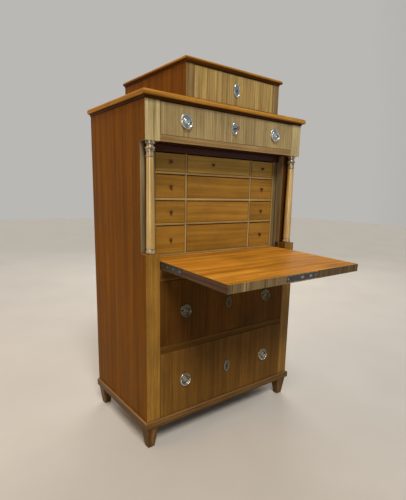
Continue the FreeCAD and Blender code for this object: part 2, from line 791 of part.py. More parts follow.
@dataclass(frozen=True)
class DrawerBox:
    """A dovetailed drawer, told in expressions.

    kind begins the names of its boards' sizes; x is its two ends, sill and top are its sides' heights;
    fore is the face of its front, thick that board, rear its sides' end; tails counts a corner's dovetails.
    """

    kind: str
    x: tuple
    sill: str
    top: str
    fore: str
    thick: str
    rear: str
    tails: int

    @property
    def shoulder(self):
        """The back of the front, where the sides' tails begin."""
        return f"({self.fore}) + {self.thick}"

    @property
    def length(self):
        """The sides' length behind the shoulder."""
        return f"({self.rear}) - ({self.shoulder})"

    @property
    def rise(self):
        """The sides' height."""
        return f"({self.top}) - ({self.sill})"

    @property
    def reach(self):
        """The tails' length, which leaves the lap before them."""
        return f"({self.thick} - {self.kind}_lap)"

    @property
    def inside(self):
        """The stretch of X between the sides."""
        return f"({self.x[0]}) + {self.kind}_side", f"({self.x[1]}) - {self.kind}_side"

    @property
    def groove(self):
        """The heights of the bottom's groove over the sill."""
        low = f"{self.kind}_bottom_raise"
        return low, f"{low} + {self.kind}_bottom"

    def dovetails(self):
        """Each tail's heights over the sill: foot and head where it is narrow, then where it is wide."""
        pitch = f"({self.rise}) / {self.tails}"
        lean = f"{self.reach} * tail_slope"
        for i in range(self.tails):
            foot = f"{i} * {pitch} + {self.kind}_pin / 2"
            head = f"{i + 1} * {pitch} - {self.kind}_pin / 2"
            yield f"{foot} + {lean}", f"{head} - {lean}", foot, head

    def front(self, name, low, high, zero):
        """The front from low to high, with sockets for the tails and a groove for the bottom.

        zero is the height at which the board has its own zero.
        """
        panel = body(name)
        corners = rectangle(self.x, (f"{low} - ({zero})", f"{high} - ({zero})"))
        pad(panel, outline(sketch_on(panel, "XZ_Plane", "face"), corners), self.thick)
        step = f"({self.sill}) - ({zero})"
        for (hand, side), end in zip(SIDES, self.inside):
            sockets = sketch_on(panel, "YZ_Plane", f"sockets_{hand}", end)
            for tail in self.dovetails():
                low_end, high_end, low_tip, high_tip = (f"{step} + {height}" for height in tail)
                tip = f"-{self.reach}"
                outline(sockets, [("0", low_end), ("0", high_end), (tip, high_tip), (tip, low_tip)])
            pocket(panel, sockets, f"{self.kind}_side", back=side > 0)
        groove_z = tuple(f"{step} + {height}" for height in self.groove)
        block_in(panel, "SubtractiveBox", "groove", self.inside, (f"-{self.kind}_groove", "0"), groove_z)
        stand(panel, "0", self.shoulder, zero)
        return panel

    def side(self, name, side):
        """A side, with its tails before the shoulder and the bottom's groove in its inner face."""
        piece = body(name)
        line = [(self.length, "0"), (self.length, self.rise), ("0", self.rise)]
        for low_end, high_end, low_tip, high_tip in reversed(list(self.dovetails())):
            tip = f"-{self.reach}"
            line += [("0", high_end), (tip, high_tip), (tip, low_tip), ("0", low_end)]
        line.append(("0", "0"))
        thick = f"{self.kind}_side"
        pad(piece, outline(sketch_on(piece, "YZ_Plane", "face"), line), thick)
        groove_x = ("0", f"{self.kind}_groove") if side > 0 else (f"{thick} - {self.kind}_groove", thick)
        block_in(piece, "SubtractiveBox", "groove", groove_x, ("0", self.length), self.groove)
        stand(piece, self.inside[1] if side > 0 else self.x[0], self.shoulder, self.sill)
        return piece

    def bottom(self, name):
        """The bottom: a tongue in the front's groove, and wider behind it, in the sides' grooves."""
        panel = body(name)
        left, right = self.inside
        groove = f"{self.kind}_groove"
        wide_left = f"{left} - {groove}"
        wide_right = f"{right} + {groove}"
        line = [
            (left, f"-{groove}"),
            (right, f"-{groove}"),
            (right, "0"),
            (wide_right, "0"),
            (wide_right, self.length),
            (wide_left, self.length),
            (wide_left, "0"),
            (left, "0"),
        ]
        pad(panel, outline(sketch_on(panel, "XY_Plane", "face"), line), f"{self.kind}_bottom")
        stand(panel, "0", self.shoulder, f"{self.sill} + {self.groove[0]}")
        return panel

    def boards(self, name):
        """The two sides, the back that stands on the bottom, and the bottom."""
        sides = [self.side(f"{name}_side_{hand}", side) for hand, side in SIDES]
        back_y = (f"{self.rear} - {self.kind}_side", self.rear)
        back = board(f"{name}_back", self.inside, back_y, (f"{self.sill} + {self.groove[1]}", self.top))
        return [*sides, back, self.bottom(f"{name}_bottom")]


# Nest behind the flap


def column_span(column):
    """The stretch of X that a column of small drawers has."""
    if column == "middle":
        return "-nest_middle", "nest_middle"
    return span("nest_middle + nest_divider", "nest_half", 1 if column == "right" else -1)


def make_nest():
    """The nest's shelves, dividers, sides, stiles, back and the lath that the closed flap meets."""
    x = ("-nest_half", "nest_half")
    y = ("nest_front", "nest_back")
    levels = ("bed_top", "row_four_top", "row_three_top", "row_two_top", "row_one_top")
    shelves = [board(f"shelf_{i}", x, y, (low, f"{low} + nest_board")) for i, low in enumerate(levels)]
    node("nest_shelves", *shelves)
    dividers, case = [], []
    for name, side in SIDES:
        divider_x = span("nest_middle", "nest_middle + nest_divider", side)
        for row, low, high in NEST_ROWS:
            dividers.append(board(f"divider_{row}_{name}", divider_x, y, (low, high)))
        side_x = span("nest_half", "nest_half + nest_side_thick", side)
        stile_x = span("nest_half + nest_side_thick", "opening_half", side)
        stile_y = ("nest_front", "nest_front + nest_stile_depth")
        case.append(board(f"nest_side_{name}", side_x, y, ("bed_top", "nest_top")))
        case.append(board(f"nest_stile_{name}", stile_x, stile_y, ("bed_top", "frieze_bottom")))
    node("nest_dividers", *dividers)
    back_x = ("-(nest_half + nest_side_thick)", "nest_half + nest_side_thick")
    back_y = ("nest_back", "nest_back + nest_back_thick")
    case.append(board("nest_back_board", back_x, back_y, ("bed_top", "nest_top")))
    node("nest_case", *case)
    lath_y = ("recess + flap_thick + flap_stop_gap", "nest_front")
    lath_x = ("-opening_half", "opening_half")
    node("flap_stop_lath", board("stop_lath", lath_x, lath_y, ("row_one_top", "frieze_bottom")))


def make_knob(name, x, z):
    """A small turned knob standing on a drawer front."""
    knob = body(name)
    face = "knob_face / 2"
    dome_low = "knob_length - knob_dome"
    profile = [
        ("0", "0"),
        ("knob_foot / 2", "0"),
        ("knob_foot / 2", "knob_foot_height"),
        ("knob_stem / 2", "knob_foot_height"),
        ("knob_stem / 2", "knob_neck"),
        bulge(face, "knob_neck", dome_low, f"knob_diameter / 2 - {face}"),
        dome(face, dome_low, "knob_dome"),
        ("0", "knob_length"),
    ]
    turned(knob, outline(sketch_on(knob, "XZ_Plane", "profile"), profile))
    stand(knob, x, "nest_front", z, X_AXIS, 90)
    return knob


def make_small_drawer(row, low, high, column):
    """One small drawer: front, sides, back, bottom and, where it has one, its knob."""
    left, right = column_span(column)
    box = DrawerBox(
        kind="small",
        x=(f"({left}) + small_gap", f"({right}) - small_gap"),
        sill=f"{low} + small_rest",
        top=f"{high} - small_top_drop",
        fore="nest_front",
        thick="small_front",
        rear="nest_back - small_back_gap",
        tails=SHALLOW_TAILS,
    )
    name = f"small_{row}_{column}"
    pieces = [box.front(f"{name}_front", box.sill, f"{high} - small_head_gap", box.sill), *box.boards(name)]
    centre = f"(({left}) + ({right})) / 2"
    if column != "middle":
        pieces.append(make_knob(f"{name}_knob", centre, f"({low} + {high}) / 2"))
    elif row == "1":
        pieces.append(make_knob(f"{name}_knob", "-top_knob_offset", f"({low} + {high}) / 2"))
    node(f"nest_drawer_{row}_{column}", *pieces)


# Locks and handles


def keyhole(grow="0"):
    """The corners of a keyhole about its round part, grown by a clearance."""
    half_slot = f"(keyhole_slot / 2 + {grow})"
    radius = f"(keyhole_radius + {grow})"
    flat = f"-sqrt({radius}^2 - {half_slot}^2)"
    drop = f"-(keyhole_drop + {grow})"
    return [
        (f"-{half_slot}", drop),
        (half_slot, drop),
        (half_slot, flat, ("0", "0"), 1),
        (f"-{half_slot}", flat),
    ]


def make_large_drawer(name, low, high, key_z, box):
    """The front of a large drawer from low to high, with its keyhole, and the box behind it."""
    panel = box.front(f"{name}_panel", f"{low} + front_gap", f"{high} - front_head_gap", key_z)
    hole = outline(sketch_on(panel, "XZ_Plane", "keyhole"), keyhole("fit_gap"))
    pocket(panel, hole, "front_thick", back=True)
    node(f"{name}_front", panel)
    node(f"{name}_box", *box.boards(name))


def make_escutcheon(name):
    """An oval keyhole plate, facing -Y with its back at its own origin."""
    plate = body(name)
    sketch = sketch_on(plate, "XZ_Plane", "oval")
    tall = number("escutcheon_height / 2")
    wide = number("escutcheon_width / 2")
    top = FreeCAD.Vector(0, tall, 0)
    oval = sketch.addGeometry(Part.Ellipse(top, FreeCAD.Vector(wide, 0, 0), FreeCAD.Vector()))
    sketch.exposeInternalGeometry(oval)
    rules = [
        Sketcher.Constraint("Coincident", oval, 3, -1, 1),
        Sketcher.Constraint("Vertical", 1),
        Sketcher.Constraint("Distance", 1, 2 * tall),
        Sketcher.Constraint("Distance", 2, 2 * wide),
    ]
    first = sketch.addConstraint(rules)[0]
    sketch.setExpression(f"Constraints[{first + 2}]", bound("escutcheon_height"))
    sketch.setExpression(f"Constraints[{first + 3}]", bound("escutcheon_width"))
    pad(plate, sketch, "escutcheon_thick")
    pocket(plate, outline(sketch_on(plate, "XZ_Plane", "keyhole"), keyhole()), "escutcheon_thick", back=True)
    face = number("-escutcheon_thick")
    hole_top = number("keyhole_radius")

    def rim(edge):
        box = edge.BoundBox
        return abs(box.YMax - face) < TINY and box.ZMax > hole_top + TINY

    rounded(plate, "escutcheon_round", rim)
    return plate


def make_lock(label, key_z, top, fore):
    """A closed lock behind a front, with its bolt drawn back, and the oval plate before it."""
    plate = make_escutcheon(f"{label}_plate")
    stand(plate, "0", fore, key_z)
    behind = f"({fore}) + front_thick"
    middle = f"{behind} + lock_depth / 2"
    case_x = ("-lock_width / 2", "lock_width / 2")
    case_z = (f"({key_z}) - lock_height / 2", f"({key_z}) + lock_height / 2")
    bolt_x = ("-bolt_width / 2", "bolt_width / 2")
    bolt_y = (f"{middle} - bolt_thick / 2", f"{middle} + bolt_thick / 2")
    case = board(f"{label}_case", case_x, (behind, f"{behind} + lock_depth"), case_z)
    bolt = board(f"{label}_bolt", bolt_x, bolt_y, (case_z[1], f"{top} - front_head_gap"))
    node(label, plate, case, bolt)


def make_frieze_lock():
    """The frieze drawer's lock: an open case for the key's bit, the bolt that it throws, and the key."""
    plate = make_escutcheon("frieze_plate")
    stand(plate, "0", "front", "frieze_middle")
    behind = "front + front_thick"
    z_low = "frieze_middle - lock_height / 2"
    z_high = "frieze_middle + lock_height / 2"
    y = (behind, f"{behind} + lock_depth")
    inner_x = ("-lock_width / 2 + lock_wall", "lock_width / 2 - lock_wall")
    inner_y = (f"{behind} + lock_wall", f"{behind} + lock_depth - lock_wall")
    inner_z = (f"{z_low} + lock_wall", f"{z_high} - lock_wall")
    blank = board("frieze_case_blank", ("-lock_width / 2", "lock_width / 2"), y, (z_low, z_high))
    room = board("frieze_case_room", inner_x, inner_y, inner_z)
    slot_x = ("-bolt_width / 2 - bolt_clearance", "bolt_width / 2 + bolt_clearance")
    slot_y = ("bolt_front - bolt_clearance", "bolt_back + bolt_clearance")
    slot = board("frieze_case_slot", slot_x, slot_y, ("frieze_middle", z_high))
    key_x = ("-keyhole_radius", "keyhole_radius")
    key_z = ("frieze_middle - keyhole_drop", "frieze_middle + keyhole_radius")
    mouth = board("frieze_case_mouth", key_x, (behind, "bolt_back"), key_z)
    node("frieze_drawer_lock", plate, cut("frieze_case", blank, room, slot, mouth))
    bolt_x = ("-bolt_width / 2", "bolt_width / 2")
    bolt_z = ("frieze_middle + bolt_foot", "frieze_top - front_head_gap")
    node("frieze_lock_bolt", board("frieze_bolt", bolt_x, ("bolt_front", "bolt_back"), bolt_z))


def make_key():
    """The iron key: ring bow, shank and bit, standing in the frieze lock."""
    key = body("lock_key")
    inside = "front_thick + (lock_depth + bolt_thick) / 2"
    length = f"key_reach + {inside}"
    radius = "key_shank / 2"
    shank = {"Radius": radius, "Height": length}
    solid_in(key, "AdditiveCylinder", "shank", "0", "-key_reach", "0", X_AXIS, -90, **shank)
    bit_x = ("-key_bit_thick / 2", "key_bit_thick / 2")
    bit_y = (f"{inside} - bolt_thick", inside)
    block_in(key, "AdditiveBox", "bit", bit_x, bit_y, ("-key_bit_drop", "0"))
    bow_y = "-(key_reach + key_bow / 2 - key_bow_wire / 2)"
    bow = {"Radius1": "(key_bow - key_bow_wire) / 2", "Radius2": "key_bow_wire / 2"}
    solid_in(key, "AdditiveTorus", "bow", "0", bow_y, "0", Y_AXIS, 90, **bow)
    stand(key, "0", "front", "frieze_middle")
    node("key", key)


def make_rosette(name, x, z):
    """A stamped round handle plate with two pierced eyes for the bail."""
    plate = body(name)
    rim = "rosette_diameter / 2"
    rim_in = f"{rim} - rosette_rim_width"
    bead = "rosette_bead_diameter / 2"
    bead_in = f"{bead} - rosette_bead_width"
    boss = "rosette_boss_diameter / 2"
    flat = "rosette_plate"
    profile = [
        ("0", "0"),
        (rim, "0"),
        crown(rim, rim_in, flat, "rosette_rim_rise"),
        (rim_in, flat),
        crown(bead, bead_in, flat, "rosette_bead_rise"),
        (bead_in, flat),
        dome(boss, flat, "rosette_boss_rise"),
        ("0", f"{flat} + rosette_boss_rise"),
    ]
    turned(plate, outline(sketch_on(plate, "XZ_Plane", "profile"), profile))
    for side_name, side in SIDES:
        eye = {"Radius": "eye_diameter / 2", "Height": "eye_reach"}
        eye_x = f"{side} * eye_spread / 2"
        solid_in(plate, "AdditiveCylinder", f"eye_{side_name}", eye_x, **eye)
    hole = {"Radius": "bail_wire / 2 + bail_clearance", "Height": "rosette_diameter"}
    start = "-rosette_diameter / 2"
    solid_in(plate, "SubtractiveCylinder", "pin_hole", start, "0", "bail_stand", Y_AXIS, 90, **hole)
    stand(plate, x, "front", z, X_AXIS, 90)
    return plate


def make_bail(label, x, z):
    """A drop handle: round wire bent to a half ring, its ends turned in as pivots."""
    bail = body(f"{label}_wire")
    pin = "eye_spread / 2 - bail_pin_inset"
    path = [
        (f"-({pin})", "0"),
        ("-bail_bend", "0", ("-bail_bend", "-bail_turn"), 1),
        ("-bail_radius", "-bail_turn", ("0", "-bail_turn"), 1),
        ("bail_radius", "-bail_turn", ("bail_bend", "-bail_turn"), 1),
        ("bail_bend", "0"),
        (pin, "0"),
    ]
    spine = outline(sketch_on(bail, "XZ_Plane", "path"), path, closed=False)
    section = sketch_on(bail, "YZ_Plane", "section", f"-({pin})")
    circle_on(section, "0", "0", "bail_wire / 2")
    sweep = bail.newObject("PartDesign::AdditivePipe", f"{label}_sweep")
    sweep.Profile = section
    sweep.Spine = (spine, [])
    stand(bail, x, "front - bail_stand", z)
    node(label, bail)


def make_handles(drawer, inset, z):
    """The two rosettes and two bails of a drawer, set in from its ends."""
    rosettes = []
    for name, side in SIDES:
        x = f"{side} * (drawer_half - {inset})"
        rosettes.append(make_rosette(f"{drawer}_rosette_{name}", x, z))
        make_bail(f"{drawer}_bail_{name}", x, z)
    node(f"{drawer}_rosettes", *rosettes)


# Flap


def in_flap(piece):
    """Stands a piece in the flap's frame: at the pivot, let down by the droop."""
    stand(piece, "0", "pivot_y", "pivot_z", X_AXIS, number("flap_droop"))
    bind(piece, Placement__Rotation__Angle="flap_droop")
    return piece


def make_flap():
    """The drop front with its straps, lock and keyhole plate, in the frame of its pivots."""
    under = "-flap_thick / 2"
    over = "flap_thick / 2"
    edge = "-flap_length"
    panel = body("flap_board")
    profile = [(edge, under), ("0", under, ("0", "0"), 1), ("0", over), (edge, over)]
    section = sketch_on(panel, "YZ_Plane", "section", "-flap_half")
    pad(panel, outline(section, profile), "2 * flap_half")
    slot_y = ("-strap_length - fit_gap", over)
    slot_z = ("-strap_height / 2 - fit_gap", "strap_height / 2 + fit_gap")
    tail_z = (under, "tail_top + fit_gap")
    for name, side in SIDES:
        slot_x = span("flap_half - strap_thick - fit_gap", "flap_half", side)
        block_in(panel, "SubtractiveBox", f"strap_slot_{name}", slot_x, slot_y, slot_z)
        block_in(panel, "SubtractiveBox", f"tail_slot_{name}", slot_x, ("-tail_length", over), tail_z)
    gap = "fit_gap"
    plate_x = (f"-selvedge_length / 2 - {gap}", f"selvedge_length / 2 + {gap}")
    plate_y = (edge, f"{edge} + selvedge_thick")
    plate_z = (f"-selvedge_height / 2 - {gap}", f"selvedge_height / 2 + {gap}")
    block_in(panel, "SubtractiveBox", "selvedge_seat", plate_x, plate_y, plate_z)
    case_x = (f"-flap_lock_width / 2 - {gap}", f"flap_lock_width / 2 + {gap}")
    case_y = (f"{edge} + selvedge_thick", f"{edge} + flap_lock_depth + {gap}")
    case_z = (f"-flap_lock_thick / 2 - {gap}", f"flap_lock_thick / 2 + {gap}")
    block_in(panel, "SubtractiveBox", "lock_mortise", case_x, case_y, case_z)
    key_y = f"{edge} + flap_key_backset"
    hole = {"Radius": "keyhole_radius + fit_gap", "Height": "flap_thick / 2"}
    solid_in(panel, "SubtractiveCylinder", "keyhole", "0", key_y, under, **hole)
    node("flap_panel", in_flap(panel))

    straps = []
    half_strap = "strap_height / 2"
    low_tail = "tail_top - tail_height"
    meet = f"sqrt(({half_strap})^2 - tail_top^2)"
    sketch_lines = [
        ("-strap_length + strap_height / 2", f"-({half_strap})"),
        ("0", f"-({half_strap})"),
        ("tail_height", low_tail),
        ("tail_length", low_tail),
        ("tail_length", "tail_top"),
        (meet, "tail_top", ("0", "0"), 1),
        ("0", half_strap),
        ("-strap_length + strap_height / 2", half_strap, ("-strap_length + strap_height / 2", "0"), 1),
    ]
    for name, side in SIDES:
        strap = body(f"strap_{name}")
        inner = "flap_half - strap_thick" if side > 0 else "-flap_half"
        section = sketch_on(strap, "YZ_Plane", "section", inner)
        pad(strap, outline(section, sketch_lines), "strap_thick")
        pin_x = "flap_half" if side > 0 else "-(opening_half + pivot_reach - pin_end_gap)"
        pin = {"Radius": "pivot_diameter / 2", "Height": "flap_side_gap + pivot_reach - pin_end_gap"}
        solid_in(strap, "AdditiveCylinder", "pin", pin_x, "0", "0", Y_AXIS, 90, **pin)
        straps.append(in_flap(strap))
    node("pivot_straps", *straps)

    lock = body("flap_lock_body")
    plate_x = ("-selvedge_length / 2", "selvedge_length / 2")
    plate_z = ("-selvedge_height / 2", "selvedge_height / 2")
    block_in(lock, "AdditiveBox", "selvedge", plate_x, plate_y, plate_z)
    case_x = ("-flap_lock_width / 2", "flap_lock_width / 2")
    case_z = ("-flap_lock_thick / 2", "flap_lock_thick / 2")
    block_in(lock, "AdditiveBox", "case", case_x, (case_y[0], f"{edge} + flap_lock_depth"), case_z)
    plate = body("flap_plate")
    sketch = circle_on(sketch_on(plate, "XY_Plane", "round", under), "0", key_y, "escutcheon_width / 2")
    pad(plate, sketch, "escutcheon_thick", back=True)
    node("flap_lock", in_flap(lock), in_flap(plate))


def large_box(half_width, low, high, fore, rear_gap, tails):
    """The box of a large drawer that runs on low and passes under high."""
    return DrawerBox(
        kind="drawer",
        x=(f"-({half_width})", half_width),
        sill=f"{low} + drawer_rest",
        top=f"{high} - drawer_top_drop",
        fore=fore,
        thick="front_thick",
        rear=f"inside_back - {rear_gap}",
        tails=tails,
    )


def make_drawers():
    """The four large drawers with their furniture."""
    for name, low, high in (("lower", "base_top", "lower_top"), ("upper", "upper_sill", "upper_top")):
        middle = f"{name}_middle"
        box = large_box("drawer_half", low, high, "front", "drawer_back_gap", DEEP_TAILS)
        make_large_drawer(f"{name}_drawer", low, high, middle, box)
        make_lock(f"{name}_drawer_lock", middle, high, "front")
        make_handles(f"{name}_drawer", "handle_inset", middle)
    box = large_box("drawer_half", "frieze_sill", "frieze_top", "front", "frieze_back_gap", SHALLOW_TAILS)
    make_large_drawer("frieze_drawer", "frieze_sill", "frieze_top", "frieze_middle", box)
    make_handles("frieze_drawer", "frieze_handle_inset", "frieze_middle")
    make_frieze_lock()
    make_key()
    attic = ("attic_opening - front_gap", "attic_floor", "attic_ceiling")
    box = large_box(*attic, "attic_front", "attic_back_gap", SHALLOW_TAILS)
    make_large_drawer("attic_drawer", "cornice_top", "attic_ceiling", "attic_middle", box)
    make_lock("attic_drawer_lock", "attic_middle", "attic_ceiling", "attic_front")


def write_parts():
    """Checks every object and writes each sub-part to its own file."""
    doc.recompute()
    for thing in doc.Objects:
        faults = [state for state in thing.State if state in ("Invalid", "Error")]
        if faults:
            raise RuntimeError(f"{thing.Label}: {faults}")
    os.makedirs("parts", exist_ok=True)
    for whole in nodes:
        shape = whole.Shape
        if shape.isNull() or not shape.isValid() or not shape.Solids:
            raise RuntimeError(f"{whole.Label} has no sound solid")
        shape.exportStep(f"parts/{whole.Label}.step")
        box = shape.BoundBox
        size = f"{box.XLength:.1f} x {box.YLength:.1f} x {box.ZLength:.1f}"
        print(f"{whole.Label}: {len(shape.Solids)} solids, {size}")


make_sides()
make_back()
make_base()
make_feet()
make_posts()
make_rails()
make_inner_boards()
make_jambs()
make_columns()
make_cornice()
make_attic()
make_nest()
for row_name, row_low, row_high in NEST_ROWS:
    for column_name in NEST_COLUMNS:
        make_small_drawer(row_name, row_low, row_high, column_name)
make_flap()
make_drawers()
write_parts()
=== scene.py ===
"""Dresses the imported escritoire: boards with softened edges and laid grain, veneer, knobs and metalwork.

Metres, +Z up, the front towards -Y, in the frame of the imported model.
"""

import functools
import json
import logging
import math
import random
from collections.abc import Callable, Sequence
from dataclasses import dataclass
from enum import Enum

import bmesh
import bpy
import numpy as np
from mathutils import Matrix, Vector
from mathutils.geometry import normal as face_normal


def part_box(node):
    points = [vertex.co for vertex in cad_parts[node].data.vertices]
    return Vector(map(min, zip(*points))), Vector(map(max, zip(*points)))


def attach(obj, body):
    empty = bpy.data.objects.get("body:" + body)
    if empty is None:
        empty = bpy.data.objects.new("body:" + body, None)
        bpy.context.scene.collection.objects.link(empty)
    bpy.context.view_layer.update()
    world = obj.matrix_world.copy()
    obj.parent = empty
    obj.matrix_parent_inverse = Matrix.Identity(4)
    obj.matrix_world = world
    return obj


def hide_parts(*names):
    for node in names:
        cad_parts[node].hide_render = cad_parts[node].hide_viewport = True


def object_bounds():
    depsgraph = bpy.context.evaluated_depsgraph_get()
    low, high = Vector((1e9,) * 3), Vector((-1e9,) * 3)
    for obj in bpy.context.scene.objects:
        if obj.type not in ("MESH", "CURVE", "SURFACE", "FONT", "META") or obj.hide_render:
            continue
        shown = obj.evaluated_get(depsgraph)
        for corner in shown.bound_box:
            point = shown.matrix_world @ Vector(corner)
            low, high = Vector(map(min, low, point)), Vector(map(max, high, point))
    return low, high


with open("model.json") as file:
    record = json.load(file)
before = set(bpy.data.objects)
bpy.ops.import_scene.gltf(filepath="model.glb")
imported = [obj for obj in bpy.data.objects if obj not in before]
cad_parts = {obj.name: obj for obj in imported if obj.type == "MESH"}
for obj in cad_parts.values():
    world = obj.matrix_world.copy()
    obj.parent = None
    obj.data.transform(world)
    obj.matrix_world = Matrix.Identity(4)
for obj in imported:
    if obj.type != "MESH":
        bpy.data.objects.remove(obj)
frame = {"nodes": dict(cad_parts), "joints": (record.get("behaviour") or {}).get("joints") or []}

LOG = logging.getLogger("escritoire")
CAD_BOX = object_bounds()
MM = 0.001
WELD = 1e-6
FORWARD, BACKWARD = (0, -1, 0), (0, 1, 0)

# A face looks along an axis from this share of that axis in its normal
FACING = 0.5

# How far edges are rounded, and the angles between faces up to which they are one flat face, and from which
# their edge is rounded or shaded sharp
SOFT_EDGE = 0.8 * MM
FRONT_SOFT_EDGE = 1.0 * MM
BOTTOM_SOFT_EDGE = 0.3 * MM
FLAT_WITHIN = math.radians(0.5)
SHARP_FROM = math.radians(35)
SHADED_APART = math.radians(21)

# The grain's pattern, along the grain and across it, in noise cells to a metre, and its shifts from board to
# board and from leaf to leaf
SWAY_ALONG, SWAY_ACROSS = 2.0, 6.0
STRIPE_ALONG = 0.9
LINE_ALONG, LINES_TO_STRIPE = 5.0, 8
PORE_ALONG, PORE_ACROSS = 70.0, 1500.0
CLOUD_ALONG, CLOUD_ACROSS = 4.0, 9.0
BOARD_SHIFT = 5.0
LEAF_SHIFT = 3.1 * MM

# The width of a leaf of veneer on the drawers' fronts
DRAWER_LEAF = 240.7 * MM

# A screw head's half slot, the shares of its radius or rise in its crown and in the slot's floor, and the
# steps round the floor and round each half of the head
SCREW_SLOT = 0.5 * MM
SCREW_CROWN, SCREW_FLOOR, SCREW_DEPTH = 0.9, 0.98, 0.1
SCREW_SIDES, SCREW_STEPS = 20, 11

# Sides to a turn, on turned wood and on small heads and pins
TURNED_SIDES, PIN_SIDES = 28, 12

# Where the noises and masks of wood and metal begin and end to count
EDGE_STOPS = (0.99, 0.8)
PORE_STOPS = (0.56, 0.72)
CLOUD_STOPS = (0.3, 0.7)
TONE_STOPS = (0.25, 0.75)
SHADE_AND_GRIME_STOPS = (0.8, 0.3)
PATCH_STOPS = (0.45, 0.72)
TARNISH_STOPS = (0.95, 0.4)
JOINT_STOPS = (0.9 * MM, 0.3 * MM)

# How far wear reaches from an edge, painted shade and grime from a corner, and tarnish from a hollow
WEAR_REACH = 1.6 * MM
SHADE_AND_GRIME_REACH = 12 * MM
TARNISH_REACH = 4 * MM

# How detailed and how rough the noises are, and the samples of shaders that look round a point
BROAD_DETAIL, PATCH_DETAIL = 3.0, 4.0
LIVELY, PATCHY = 0.6, 0.65
ROUND_SAMPLES = 4

# Factors that turn the numbers of boards and leaves into chance
BOARD_SEED, LEAF_SEED = 9.7, 0.37

# How far the grain's colours lie from the middle of its noise, the least share of wear along an edge, how
# dark joints are, and the number by which the dark colour is divided in pores and in painted corner shade
COLOUR_REACH = 0.2
LEAST_WEAR = 0.3
JOINT_DARKNESS = 0.7
PORE_PART, SHADE_AND_GRIME_PART = 3, 4

# How far roughness goes down and up from a finish's own, and what pores and tarnish add to it
WOOD_DULLING, METAL_DULLING, FLOOR_DULLING = (-0.07, 0.09), (-0.06, 0.08), (-0.05, 0.1)
PORE_DULLNESS, TARNISH_DULLNESS = 0.15, 0.3

# Strength and depth of the bump of grain and of worn metal, whose scratches are finer than its spots
WOOD_BUMP, METAL_BUMP = (0.25, 0.15 * MM), (0.15, 0.2 * MM)
SCRATCHES_TO_SPOT, SCRATCH_BUMP = 7, 0.4

Colour = tuple[int, int, int]
Line = Sequence[tuple[float, float]]
Node = bpy.types.Node
Socket = bpy.types.NodeSocket
Value = Socket | float


class Grain(Enum):
    """The axes that lie along a board's grain, across it and through its thickness."""

    UPRIGHT_FRONT = (2, 0, 1)
    UPRIGHT_SIDE = (2, 1, 0)
    LEVEL_FRONT = (0, 2, 1)
    LEVEL_TOP = (0, 1, 2)
    DEEP_SIDE = (1, 2, 0)
    DEEP_TOP = (1, 0, 2)


class Slot(Enum):
    """The record's material slots."""

    CASE = "case_wood"
    FRONT = "front_veneer"
    TOP = "top_wood"
    FLAP = "flap_wood"
    NEST = "nest_wood"
    PALE = "pale_wood"
    COLUMN = "column_wood"
    PLATE = "plate_metal"
    IRON = "iron"


class Side(Enum):
    """Left or right, as a sign of X."""

    LEFT = -1
    RIGHT = 1


# Materials


def linear(colour: Colour) -> tuple[float, float, float, float]:
    """Turns a screen colour into the shader's linear values.

    Args:
        colour: Red, green and blue from 0 to 255.

    Returns:
        Linear red, green and blue, and full opacity.
    """
    parts = [c / 255 for c in colour]
    red, green, blue = (p / 12.92 if p <= 0.04045 else ((p + 0.055) / 1.055) ** 2.4 for p in parts)
    return red, green, blue, 1.0


